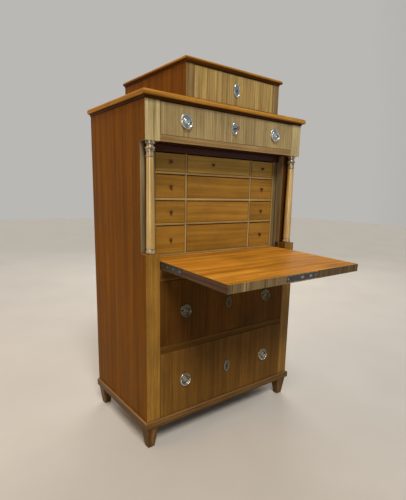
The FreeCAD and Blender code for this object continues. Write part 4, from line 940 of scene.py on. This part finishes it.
def veneered(face: Skin, edge: Skin, behind: Skin, square: float = FACING) -> Paint:
    """Chooses between a board's show face towards -Y, its back and its edges.

    Args:
        face: The skin of the show face.
        edge: The skin of the edges.
        behind: The skin of the back.
        square: How squarely a face looks forward, up to 1, where it counts as the show face.

    Returns:
        The choice.
    """

    def choose(_: Vector, normal: Vector) -> Skin:
        """Chooses by the way that the face looks."""
        if normal.y < -square:
            return face
        return behind if normal.y > FACING else edge

    return choose


def sided(face: Skin, side: Skin) -> Paint:
    """Chooses between an upright's faces and its sides, which look along X."""
    return lambda _, normal: side if abs(normal.x) > FACING else face


def lay_box(stock: Stock, left: Solid, right: Solid, back: Solid, bottom: Solid) -> None:
    """Lays a drawer's sides, back and bottom in pale wood."""
    for solid in (left, right):
        stock.lay(solid, Skin(DRAWER_WOOD, Grain.DEEP_SIDE))
    stock.lay(back, Skin(DRAWER_WOOD, Grain.LEVEL_FRONT))
    stock.lay(bottom, Skin(DRAWER_WOOD, Grain.LEVEL_TOP), BOTTOM_SOFT_EDGE)


# Sub-assemblies


@dataclass
class Carcass:
    """The sides, posts, rails, inner boards, base and feet, with the columns and pivot plates.

    base_top and base_end are the shares of Z and X in a face's normal from which the base moulding's faces
    count as looking up, or as lying on its ends.
    """

    capital: float = 57.5 * MM
    base_ring: float = 22.5 * MM
    base_top: float = 0.35
    base_end: float = 0.3
    nail_radius: float = 2.2 * MM
    nail_rise: float = 0.5 * MM
    nail_sunk: float = 0.3 * MM
    nail_edge: float = 22 * MM
    nail_shoulder: float = 0.8
    nails: int = 3
    body: str = "carcass"

    def build(self) -> None:
        """Builds every part of the carcass."""
        self.sides()
        self.front()
        self.columns()
        self.inside()
        self.foot()
        self.back()

    def sides(self) -> None:
        """Dresses the side panels."""
        panel = Skin(SIDE_WOOD, Grain.UPRIGHT_SIDE)
        skin = veneered(Skin(STRIP_WOOD, Grain.UPRIGHT_FRONT), panel, panel)
        for side in Side:
            dress(f"side_{side.name.lower()}", self.body, Slot.CASE, skin)

    def front(self) -> None:
        """Dresses the posts, blocks, rails and jambs."""
        side = Skin(SIDE_WOOD, Grain.UPRIGHT_SIDE)
        for node, finish in (("lower_posts", POST_VENEER), ("frieze_blocks", BLOCK_VENEER)):
            dress(node, self.body, Slot.FRONT, sided(Skin(finish, Grain.UPRIGHT_FRONT), side))
        flap_rail = joint("flap_hinge")["pos_m"][2]

        def rail(place: Vector, normal: Vector) -> Skin:
            """Tells the undersides, painted near black as shade, the frieze rail, and the rails below the
            flap, painted darker as shade, apart.
            """
            if normal.z < -FACING:
                return Skin(SHADED_LATH_WOOD, Grain.LEVEL_TOP)
            return Skin(RAIL_VENEER if place.z > flap_rail else LOW_RAIL_SHADED_VENEER, Grain.LEVEL_FRONT)

        dress("front_rails", self.body, Slot.FRONT, rail)
        jamb = Skin(JAMB_WOOD, Grain.UPRIGHT_SIDE)
        # The jambs' fronts, beside the columns, are painted dark as shade
        dress("jambs", self.body, Slot.CASE, veneered(Skin(PAINTED_SHADE_WOOD, Grain.UPRIGHT_FRONT), jamb, jamb))

    def columns(self) -> None:
        """Finishes the columns, with glossier rings at both ends, and the pivot plates beside them."""
        foot, head = (corner.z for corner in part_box("columns"))

        def turning(_: int, place: Vector, __: Vector) -> Skin:
            """Tells the rings from the shaft."""
            ringed = place.z > head - self.capital or place.z < foot + self.base_ring
            return Skin(RING_WOOD if ringed else COLUMN_WOOD, Grain.UPRIGHT_FRONT)

        carry("columns", self.body, Slot.COLUMN, turning)
        coat("pivot_plates", IRON)

    def inside(self) -> None:
        """Dresses the boards that the drawers run on and the desk bed."""
        dress("dust_boards", self.body, Slot.PALE, Skin(BOARD_WOOD, Grain.LEVEL_TOP))
        dress("drawer_guides", self.body, Slot.PALE, Skin(BOARD_WOOD, Grain.DEEP_SIDE))
        dress("desk_bed", self.body, Slot.FLAP, Skin(FLAP_WOOD, Grain.LEVEL_TOP))

    def foot(self) -> None:
        """Dresses the base moulding and the feet."""

        def moulding(_: int, __: Vector, normal: Vector) -> Skin:
            """Tells the upward faces, painted paler as a highlight, from the rest, and the ends from the
            front.
            """
            finish = BASE_LIT_TOP if normal.z > self.base_top else BASE_WOOD
            return Skin(finish, Grain.DEEP_SIDE if abs(normal.x) > self.base_end else Grain.LEVEL_FRONT)

        carry("base_moulding", self.body, Slot.TOP, moulding)
        dress("feet", self.body, Slot.TOP, Skin(BASE_WOOD, Grain.UPRIGHT_FRONT))

    def back(self) -> None:
        """Dresses the back boards and nails them on."""
        stock = Stock("back_boards_dressed")
        boards = solids_of("back_boards")
        for solid in boards:
            stock.lay(solid, Skin(BOARD_WOOD, Grain.UPRIGHT_FRONT))
        radius, rise, share = self.nail_radius, self.nail_rise, self.nail_shoulder
        head = rounded_line([(0.0, 0.0), (radius, 0.0), (radius * share, rise * share), (0.0, rise)])
        for solid in boards:
            half = solid.size / 2
            for x in (-1, 1):
                for level in np.linspace(-1, 1, self.nails):
                    across = x * (half.x - self.nail_edge)
                    up = level * (half.z - self.nail_edge)
                    place = solid.middle + Vector((across, half.y - self.nail_sunk, up))
                    stock.turn(head, facing(place, BACKWARD), Skin(IRON), PIN_SIDES)
        stock.deliver(self.body, Slot.PALE, "back_boards")


@dataclass
class TopWorks:
    """The cornice, the attic's case and its moulded top.

    level and end are the shares of Z and X in a face's normal from which a moulding's faces count as level,
    or as lying on its ends. Of the attic's boards, those less wide than narrow are stiles, if they are also
    less deep than thin, or sides, and others less high than thin are its floor and guides.
    """

    cornice_shade: float = 0.3
    attic_shade: float = 0.55
    level: float = 0.98
    end: float = 0.15
    narrow: float = 0.1
    thin: float = 0.03
    body: str = "carcass"

    def build(self) -> None:
        """Builds every part above the frieze."""
        self.moulding("cornice", PAINTED_SHADE_WOOD, self.cornice_shade)
        self.moulding("attic_top", ATTIC_PAINTED_SHADE, self.attic_shade)
        self.case()

    def moulding(self, node: str, under: WoodFinish, share: float) -> None:
        """Dresses a moulded board, painting shade under its nosing over a share of its height."""
        low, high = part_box(node)
        shade = low.z + share * (high.z - low.z)

        def choose(_: int, place: Vector, normal: Vector) -> Skin:
            """Tells the lower part, painted dark as shade, from the rest, and the flat, the ends and the
            front apart.
            """
            finish = under if place.z < shade else TOP_WOOD
            if abs(normal.z) > self.level:
                return Skin(finish, Grain.LEVEL_TOP)
            return Skin(finish, Grain.DEEP_SIDE if abs(normal.x) > self.end else Grain.LEVEL_FRONT)

        carry(node, self.body, Slot.TOP, choose)

    def case(self) -> None:
        """Dresses the stiles, sides, guides, floor and back of the attic."""
        stock = Stock("attic_case_dressed")
        side = Skin(SIDE_WOOD, Grain.UPRIGHT_SIDE)
        stile = veneered(Skin(RAIL_VENEER, Grain.UPRIGHT_FRONT), side, side)
        boards = solids_of("attic_case")
        outer = max(abs(s.middle.x) + s.size.x / 2 for s in boards)
        for solid in boards:
            narrow = solid.size.x < self.narrow
            if narrow and solid.size.y < self.thin:
                stock.lay(solid, stile)
            elif narrow and abs(solid.middle.x) + solid.size.x / 2 > outer - MM:
                stock.lay(solid, side)
            elif solid.size.z < self.thin:
                stock.lay(solid, Skin(BOARD_WOOD, Grain.DEEP_TOP))
            else:
                stock.lay(solid, Skin(BOARD_WOOD, Grain.LEVEL_FRONT))
        stock.deliver(self.body, Slot.CASE, "attic_case")


@dataclass
class Nest:
    """The nest of small drawers behind the flap.

    A board of its case over back_width wide is its back, and one under stile_depth deep is a stile.
    front_square leaves only the flat of a drawer's front its show wood: the rounding round it is painted dark
    as shade.
    knob_neck_span tells where a knob's neck begins and ends, and knob_outline how its swelling goes on, in
    shares of the widest radius and heights.
    """

    rows: int = 4
    columns: tuple[str, ...] = ("left", "middle", "right")
    shelf_soft_edge: float = 1.2 * MM
    front_soft_edge: float = 2.2 * MM
    front_square: float = 0.95
    back_width: float = 0.3
    stile_depth: float = 0.05
    knob_foot: float = 4.4 * MM
    knob_foot_rise: float = 0.8 * MM
    knob_neck: float = 3.3 * MM
    knob_neck_span: tuple[float, float] = (1.6 * MM, 3.4 * MM)
    knob_swell: float = 6.4 * MM
    knob_outline: Line = (
        (0.9, 5.2 * MM), (1.0, 7.0 * MM), (0.82, 9.2 * MM), (0.45, 10.5 * MM), (0.0, 10.9 * MM)
    )
    body: str = "carcass"

    def build(self) -> None:
        """Builds the nest's case and its drawers, the top row in a paler wood that paints light into the
        frieze's shade.
        """
        self.case()
        for row in range(1, self.rows + 1):
            for column in self.columns:
                self.drawer(f"nest_drawer_{row}_{column}", NEST_LIGHTENED_WOOD if row == 1 else NEST_WOOD)

    def case(self) -> None:
        """Dresses the shelves, dividers, sides, stiles, back and lath."""
        # Every face of the shelves but the front is painted dark as shade, so that the gaps over the drawers
        # read dark
        inside = Skin(PAINTED_SHADE_WOOD, Grain.LEVEL_TOP)
        shelf = veneered(Skin(NEST_EDGE, Grain.LEVEL_FRONT), inside, inside)
        upright = Skin(BOARD_WOOD, Grain.DEEP_SIDE)
        divider = veneered(Skin(NEST_EDGE, Grain.UPRIGHT_FRONT), upright, upright)
        dress("nest_shelves", self.body, Slot.PALE, shelf, self.shelf_soft_edge)
        dress("nest_dividers", self.body, Slot.PALE, divider, self.shelf_soft_edge)
        stile = veneered(Skin(JAMB_WOOD, Grain.UPRIGHT_FRONT), upright, upright)
        stock = Stock("nest_case_dressed")
        for solid in solids_of("nest_case"):
            if solid.size.x > self.back_width:
                stock.lay(solid, Skin(BOARD_WOOD, Grain.UPRIGHT_FRONT))
            else:
                stock.lay(solid, stile if solid.size.y < self.stile_depth else divider)
        stock.deliver(self.body, Slot.NEST, "nest_case")
        # The stop lath is painted near black as shade
        dress("flap_stop_lath", self.body, Slot.NEST, Skin(SHADED_LATH_WOOD, Grain.LEVEL_FRONT))

    def knob_line(self) -> Line:
        """Draws the knob's profile: foot, neck, swelling and a low crown."""
        foot = [(0.0, 0.0), (self.knob_foot, 0.0), (self.knob_foot, self.knob_foot_rise)]
        neck = [(self.knob_neck, height) for height in self.knob_neck_span]
        swelling = [(self.knob_swell * share, height) for share, height in self.knob_outline]
        return foot + rounded_line(neck + swelling)

    def drawer(self, node: str, wood: WoodFinish) -> None:
        """Dresses one small drawer, its front in a given wood, and turns its knob."""
        stock = Stock(f"{node}_dressed")
        front, left, right, back, bottom, *knob = solids_of(node)
        # The rounding round each front is painted dark as shade, a shadow line in the gap round the drawer
        show, edge, pale = (Skin(finish, Grain.LEVEL_FRONT) for finish in (wood, PAINTED_SHADE_WOOD, DRAWER_WOOD))
        stock.lay(front, veneered(show, edge, pale, self.front_square), self.front_soft_edge)
        lay_box(stock, left, right, back, bottom)
        for solid in knob:
            foot = solid.middle + Vector((0, solid.size.y / 2, 0))
            stock.turn(self.knob_line(), facing(foot, FORWARD), Skin(KNOB_WOOD, Grain.DEEP_TOP))
        stock.deliver(node, Slot.NEST, node)


@dataclass
class Flap:
    """The drop front with its straps, screws and lock.

    flat is the share of Z in a face's normal from which it is the board's top or underside.
    """

    strap_screws: tuple[float, ...] = (-0.026, -0.066, -0.106, -0.146, -0.188)
    screw_radius: float = 3.6 * MM
    screw_rise: float = 0.25 * MM
    flush_rise: float = 0.15 * MM
    selvedge_screw: float = 78 * MM
    bolt_places: tuple[float, ...] = (0.0, 48 * MM)
    bolt_width: float = 16 * MM
    bolt_height: float = 9 * MM
    bolt_chamfer: float = 1.2 * MM
    flat: float = 0.7
    body: str = "flap"

    def __post_init__(self) -> None:
        """Finds the flap's own axes: at its pivots, along the drooping board."""
        hinge = joint("flap_hinge")
        droop = math.radians(-hinge["range_deg"][0] - 90)
        self.axes = Matrix.Translation(hinge["pos_m"]) @ Matrix.Rotation(droop, 4, "X")

    def build(self) -> None:
        """Builds the board and its ironwork."""
        self.board()
        coat("pivot_straps", IRON)
        self.lock()
        self.fittings()

    def board(self) -> None:
        """Dresses the board: writing face, show face below and banded edges, painted darker as shade beyond
        the lock.
        """
        plate_end = max(s.middle.x + s.size.x / 2 for s in solids_of("flap_lock"))

        def choose(place: Vector, normal: Vector) -> Skin:
            """Tells the board's two faces, its ends and its front edge apart."""
            if normal.z > self.flat:
                return Skin(FLAP_WOOD, Grain.LEVEL_TOP)
            if normal.z < -self.flat:
                return Skin(FRONT_VENEER, Grain.DEEP_TOP)
            if abs(normal.x) > FACING:
                return Skin(END_VENEER, Grain.DEEP_SIDE)
            # Beyond the lock the front edge is painted darker as shade
            return Skin(SHADED_EDGE_VENEER if place.x > plate_end else EDGE_VENEER, Grain.UPRIGHT_FRONT)

        stock = Stock("flap_panel_dressed", self.axes)
        for solid in solids_of("flap_panel"):
            stock.lay(solid, choose, FRONT_SOFT_EDGE, plate_end)
        stock.deliver(self.body, Slot.FLAP, "flap_panel")

    def lock(self) -> None:
        """Dresses the lock in iron, and its keyhole plate in the show metal."""
        carry("flap_lock", self.body, Slot.IRON, lambda number, *_: Skin(IRON if number == 0 else SILVER))

    def fittings(self) -> None:
        """Sets the screws and the bolt ends."""
        stock = Stock("flap_fittings")
        low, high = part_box("flap_panel")
        for side in Side:
            reach = (high.x - low.x) / 2 * side.value
            for along in self.strap_screws:
                place = self.axes @ Vector((reach, along, 0))
                stock.screw(facing(place, (side.value, 0, 0)), self.screw_radius, self.screw_rise)
        inward = self.axes.inverted()
        edge = min((inward @ Vector(p)).y for s in solids_of("flap_panel") for p in s.points)
        ahead = self.axes.to_3x3() @ Vector(FORWARD)
        for side in Side:
            place = self.axes @ Vector((side.value * self.selvedge_screw, edge, 0))
            stock.screw(facing(place, ahead), self.screw_radius, self.flush_rise)
        for across in self.bolt_places:
            self.bolt_end(stock, across, edge)
        stock.deliver(self.body, Slot.IRON)

    def bolt_end(self, stock: Stock, across: float, edge: float) -> None:
        """Adds the end of a bolt, flush in the edge plate, with its corners taken off."""
        wide, high, chamfer = self.bolt_width / 2, self.bolt_height / 2, self.bolt_chamfer
        low = [(-wide, -high), (wide, -high), (wide, high), (-wide, high)]
        top = [(x - math.copysign(chamfer, x), z - math.copysign(chamfer, z)) for x, z in low]
        points = [self.axes @ Vector((across + x, edge, z)) for x, z in low]
        points += [self.axes @ Vector((across + x, edge - self.flush_rise, z)) for x, z in top]
        sides = [[i, (i + 1) % 4, 4 + (i + 1) % 4, 4 + i] for i in range(4)]
        stock.add(points, [*sides, [4, 5, 6, 7]], Skin(STEEL))


@dataclass
class LargeDrawer:
    """One of the four large drawers, with its lock, handles and dressed front."""

    name: str
    veneer: WoodFinish = FRONT_VENEER
    metal: MetalFinish = SILVER
    hollow_metal: MetalFinish = TARNISH
    plate_metal: MetalFinish = PLATE_FACE
    bail_metal: MetalFinish = BAIL_METAL
    handles: bool = True
    beads: int = 30
    bead_ring: float = 18.6 * MM
    bead_radius: float = 1.25 * MM
    bead_foot: float = 0.2 * MM
    bead_arc: float = 1.35
    bead_steps: int = 4
    bead_sides: int = 8
    petals: int = 12
    petal_ring: float = 5.6 * MM
    plate_face: float = 1.4 * MM
    boss_face: float = 3.6 * MM
    petal_lean: float = 0.42
    petal_rise: float = 0.8
    hollow: tuple[float, float] = (9.5 * MM, 22.5 * MM)
    hollow_square: float = 0.9
    pin_spread: float = 19.5 * MM
    pin_line: Line = (
        (0.0, 0.0), (1.3 * MM, 0.0), (1.1 * MM, 0.35 * MM), (0.6 * MM, 0.55 * MM), (0.0, 0.6 * MM)
    )
    rim_inset: float = 2.4 * MM
    rim_radius: float = 1.1 * MM
    rim_steps: int = 56
    rim_sides: int = 6

    def build(self) -> None:
        """Builds the front, the box, the lock and the handles."""
        self.front()
        self.box()
        self.lock()
        if self.handles:
            self.metalwork()

    def front(self) -> None:
        """Dresses the front: veneer on the face, its core at the edges, pale wood behind."""
        show = Skin(self.veneer, Grain.UPRIGHT_FRONT)
        edge, behind = (Skin(wood, Grain.LEVEL_FRONT) for wood in (CORE_WOOD, DRAWER_WOOD))
        skin = veneered(show, edge, behind)
        dress(f"{self.name}_front", self.name, Slot.FRONT, skin, FRONT_SOFT_EDGE)

    def box(self) -> None:
        """Dresses the sides, back and bottom."""
        node = f"{self.name}_box"
        stock = Stock(f"{node}_dressed")
        lay_box(stock, *solids_of(node))
        stock.deliver(self.name, Slot.PALE, node)

    def lock(self) -> None:
        """Dresses the lock, and rims and pins its oval plate."""
        node = f"{self.name}_lock"
        metals = (self.plate_metal, IRON)
        carry(node, self.name, Slot.PLATE, lambda number, *_: Skin(metals[min(number, 1)]))
        plate = solids_of(node)[0]
        face = plate.middle.y - plate.size.y / 2
        stock = Stock(f"{self.name}_plate_pins")
        self.rim(stock, Vector((plate.middle.x, face, plate.middle.z)), plate.size)
        for side in Side:
            place = (plate.middle.x, face, plate.middle.z + side.value * self.pin_spread)
            stock.turn(self.pin_line, facing(place, FORWARD), Skin(self.metal), PIN_SIDES)
        stock.deliver(self.name, Slot.PLATE)

    def rim(self, stock: Stock, middle: Vector, size: Vector) -> None:
        """Lays a half-round rim on an oval plate, just inside its edge.

        Args:
            stock: The piece that it joins.
            middle: The middle of the plate's face.
            size: The size of the plate.
        """
        wide, high = size.x / 2 - self.rim_inset, size.z / 2 - self.rim_inset
        section = np.linspace(0, math.pi, self.rim_sides)
        points = [
            middle + Vector((
                (wide + self.rim_radius * math.cos(tilt)) * math.cos(angle),
                -self.rim_radius * math.sin(tilt),
                (high + self.rim_radius * math.cos(tilt)) * math.sin(angle),
            ))
            for angle in np.linspace(0, math.tau, self.rim_steps, endpoint=False)
            for tilt in section
        ]
        row = len(section)
        count = len(points)
        corners = [start + side for start in range(0, count, row) for side in range(row - 1)]
        faces = [[i, (i + row) % count, (i + row + 1) % count, i + 1] for i in corners]
        stock.add(points, faces, Skin(self.metal))

    def metalwork(self) -> None:
        """Finishes the rosettes and bails, and sets beads and petals on each rosette."""
        stock = Stock(f"{self.name}_rosette_relief")
        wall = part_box(f"{self.name}_front")[0].y
        middles: list[Vector] = []
        for side in Side:
            bail = f"{self.name}_bail_{side.name.lower()}"
            coat(bail, self.bail_metal)
            x, _, z = joint(f"{bail}_swing")["pos_m"]
            middles.append(Vector((x, wall, z)))
            self.beading(stock, middles[-1])
        stock.deliver(self.name, Slot.PLATE)

        def ring(number: int, place: Vector, normal: Vector) -> Skin:
            """Tells a rosette's sunk ring from the rest of it."""
            away = place - middles[number]
            low, high = self.hollow
            hollow = normal.y < -self.hollow_square and low < math.hypot(away.x, away.z) < high
            return Skin(self.hollow_metal if hollow else self.metal)

        carry(f"{self.name}_rosettes", self.name, Slot.PLATE, ring)

    def beading(self, stock: Stock, middle: Vector) -> None:
        """Sets a ring of beads and a whorl of petals on one rosette."""
        bead = self.bead_radius
        angles = np.linspace(0, self.bead_arc, self.bead_steps)
        arc = [(bead * math.cos(angle), bead * math.sin(angle)) for angle in angles]
        dome = [(0.0, -self.bead_foot), *arc, (0.0, bead)]
        for step in range(self.beads):
            angle = math.tau * step / self.beads
            place = middle + Vector((math.cos(angle), 0, math.sin(angle))) * self.bead_ring
            place.y -= self.plate_face
            stock.turn(dome, facing(place, FORWARD), Skin(self.metal), self.bead_sides)
        low_dome = Matrix.Diagonal((1.0, 1.0, self.petal_rise, 1.0))
        for step in range(self.petals):
            angle = math.tau * step / self.petals
            out = Vector((math.cos(angle), 0, math.sin(angle)))
            place = middle + out * self.petal_ring
            place.y -= self.boss_face
            lean = facing(place, out * self.petal_lean + Vector(FORWARD))
            stock.turn(dome, lean @ low_dome, Skin(self.metal), self.bead_sides)


@dataclass
class FriezeDrawer(LargeDrawer):
    """The frieze drawer, whose lock holds the key."""

    def build(self) -> None:
        """Builds the drawer, and finishes the key and the bolt that it throws."""
        super().build()
        coat("key", IRON)
        coat("frieze_lock_bolt", STEEL)


@dataclass(frozen=True)
class Softbox:
    """A soft square light: its place, its side in metres, its watts and its colour."""

    name: str
    place: tuple[float, float, float]
    size: float
    power: float
    colour: Colour
    gloss_only: bool = False

    def hang(self) -> None:
        """Hangs the light, facing the middle of the piece."""
        lamp = bpy.data.lights.new(self.name, "AREA")
        lamp.shape = "SQUARE"
        lamp.size = self.size
        lamp.energy = self.power
        lamp.color = linear(self.colour)[:3]
        holder = place_object(self.name, lamp)
        holder.location = self.place
        low, high = CAD_BOX
        holder.rotation_euler = ((low + high) / 2 - Vector(self.place)).to_track_quat("-Z", "Y").to_euler()
        holder.visible_diffuse = not self.gloss_only


@dataclass
class Studio:
    """The floor, the lights and the camera."""

    floor_half: float = 14.0
    camera_place: tuple[float, float, float] = (-1.14336, -1.33507, 1.06304)
    yaw: float = 0.656
    pitch: float = -0.195
    roll: float = 0.021
    lens: float = 28.108
    shift: float = 0.041
    near: float = 0.05
    sun_from: tuple[float, float, float] = (-0.26, -0.6, 0.8)
    sun_spread: float = 20.0
    sun_power: float = 3.0
    sun_colour: Colour = (255, 247, 236)
    softboxes: tuple[Softbox, ...] = (
        Softbox("side_light", (-2.3, 0.4, 2.7), 1.6, 24.0, (255, 196, 130)),
        Softbox("front_card", (2.9, -3.0, 1.9), 2.2, 11.0, (216, 232, 255)),
        Softbox("gleam", (-2.7, -2.7, 1.5), 1.5, 40.0, (255, 250, 240), gloss_only=True),
        Softbox("rear_light", (2.6, 3.2, 2.8), 2.6, 70.0, (255, 244, 230)),
    )
    room_front: Colour = (100, 94, 86)
    room_back: Colour = (186, 184, 180)
    room_turn: tuple[float, float] = (-0.4, 0.5)

    def build(self) -> None:
        """Builds the stage, the lights and the camera."""
        self.floor()
        self.daylight()
        for softbox in self.softboxes:
            softbox.hang()
        self.surroundings()
        self.camera()

    def floor(self) -> None:
        """Lays the floor."""
        half = self.floor_half
        corners = [(-half, -half, 0), (half, -half, 0), (half, half, 0), (-half, half, 0)]
        mesh = bpy.data.meshes.new("floor")
        mesh.from_pydata(corners, [], [(0, 1, 2, 3)])
        mesh.materials.append(FLOOR.material())
        place_object("floor", mesh)

    def daylight(self) -> None:
        """Sets the broad soft light that falls from the front, above and a little to the left."""
        lamp = bpy.data.lights.new("daylight", "SUN")
        lamp.energy = self.sun_power
        lamp.angle = math.radians(self.sun_spread)
        lamp.color = linear(self.sun_colour)[:3]
        holder = place_object("daylight", lamp)
        holder.rotation_euler = (-Vector(self.sun_from)).to_track_quat("-Z", "Y").to_euler()

    def surroundings(self) -> None:
        """Sets the even light of the room, and the way that light becomes picture values."""
        scene = bpy.context.scene
        world = bpy.data.worlds.new("studio")
        world.use_nodes = True
        nodes, links = world.node_tree.nodes, world.node_tree.links
        back = next(n for n in nodes if n.type == "BACKGROUND")
        way = nodes.new("ShaderNodeSeparateXYZ")
        links.new(nodes.new("ShaderNodeTexCoord").outputs["Generated"], way.inputs[0])
        depth = nodes.new("ShaderNodeMapRange")
        links.new(way.outputs["Y"], depth.inputs["Value"])
        depth.inputs["From Min"].default_value, depth.inputs["From Max"].default_value = self.room_turn
        wall = nodes.new("ShaderNodeMix")
        wall.data_type = "RGBA"
        links.new(depth.outputs["Result"], wall.inputs[0])
        wall.inputs[6].default_value = linear(self.room_front)
        wall.inputs[7].default_value = linear(self.room_back)
        links.new(wall.outputs[2], back.inputs["Color"])
        scene.world = world
        scene.view_settings.view_transform = "Standard"
        scene.view_settings.look = "None"

    def camera(self) -> None:
        """Stands the camera where the photograph was taken."""
        lens = bpy.data.cameras.new("photo_camera")
        lens.lens = self.lens
        lens.shift_y = self.shift
        lens.clip_start = self.near
        level = Vector((math.sin(self.yaw), math.cos(self.yaw), 0.0))
        ahead = level * math.cos(self.pitch) + Vector((0.0, 0.0, math.sin(self.pitch)))
        right = Vector((math.cos(self.yaw), -math.sin(self.yaw), 0.0))
        up = right.cross(ahead)
        across = right * math.cos(self.roll) + up * math.sin(self.roll)
        upward = up * math.cos(self.roll) - right * math.sin(self.roll)
        axes = Matrix((across, upward, -ahead)).transposed().to_4x4()
        eye = place_object("photo_camera", lens)
        eye.matrix_world = Matrix.Translation(self.camera_place) @ axes
        bpy.context.scene.camera = eye


def main() -> None:
    """Builds the sub-assemblies in order, and the studio round them."""
    logging.basicConfig(level=logging.INFO, format="%(name)s: %(message)s")
    # The drawers under the flap take metal painted darker as shade, the upper drawer's most
    shaded = {"metal": SHADOWED_SILVER, "plate_metal": SHADED_PLATE, "bail_metal": SHADOWED_SILVER}
    parts = (
        Carcass(),
        TopWorks(),
        Nest(),
        Flap(),
        LargeDrawer("lower_drawer", LOWER_SHADED_VENEER, metal=HALF_SHADED_SILVER, plate_metal=HALF_SHADED_PLATE),
        LargeDrawer("upper_drawer", UPPER_SHADED_VENEER, **shaded),
        FriezeDrawer("frieze_drawer", hollow_metal=PAINTED_REFLECTION_HOLLOW),
        LargeDrawer("attic_drawer", ATTIC_VENEER, handles=False),
        Studio(),
    )
    for part in parts:
        part.build()


if __name__ == "__main__":
    main()
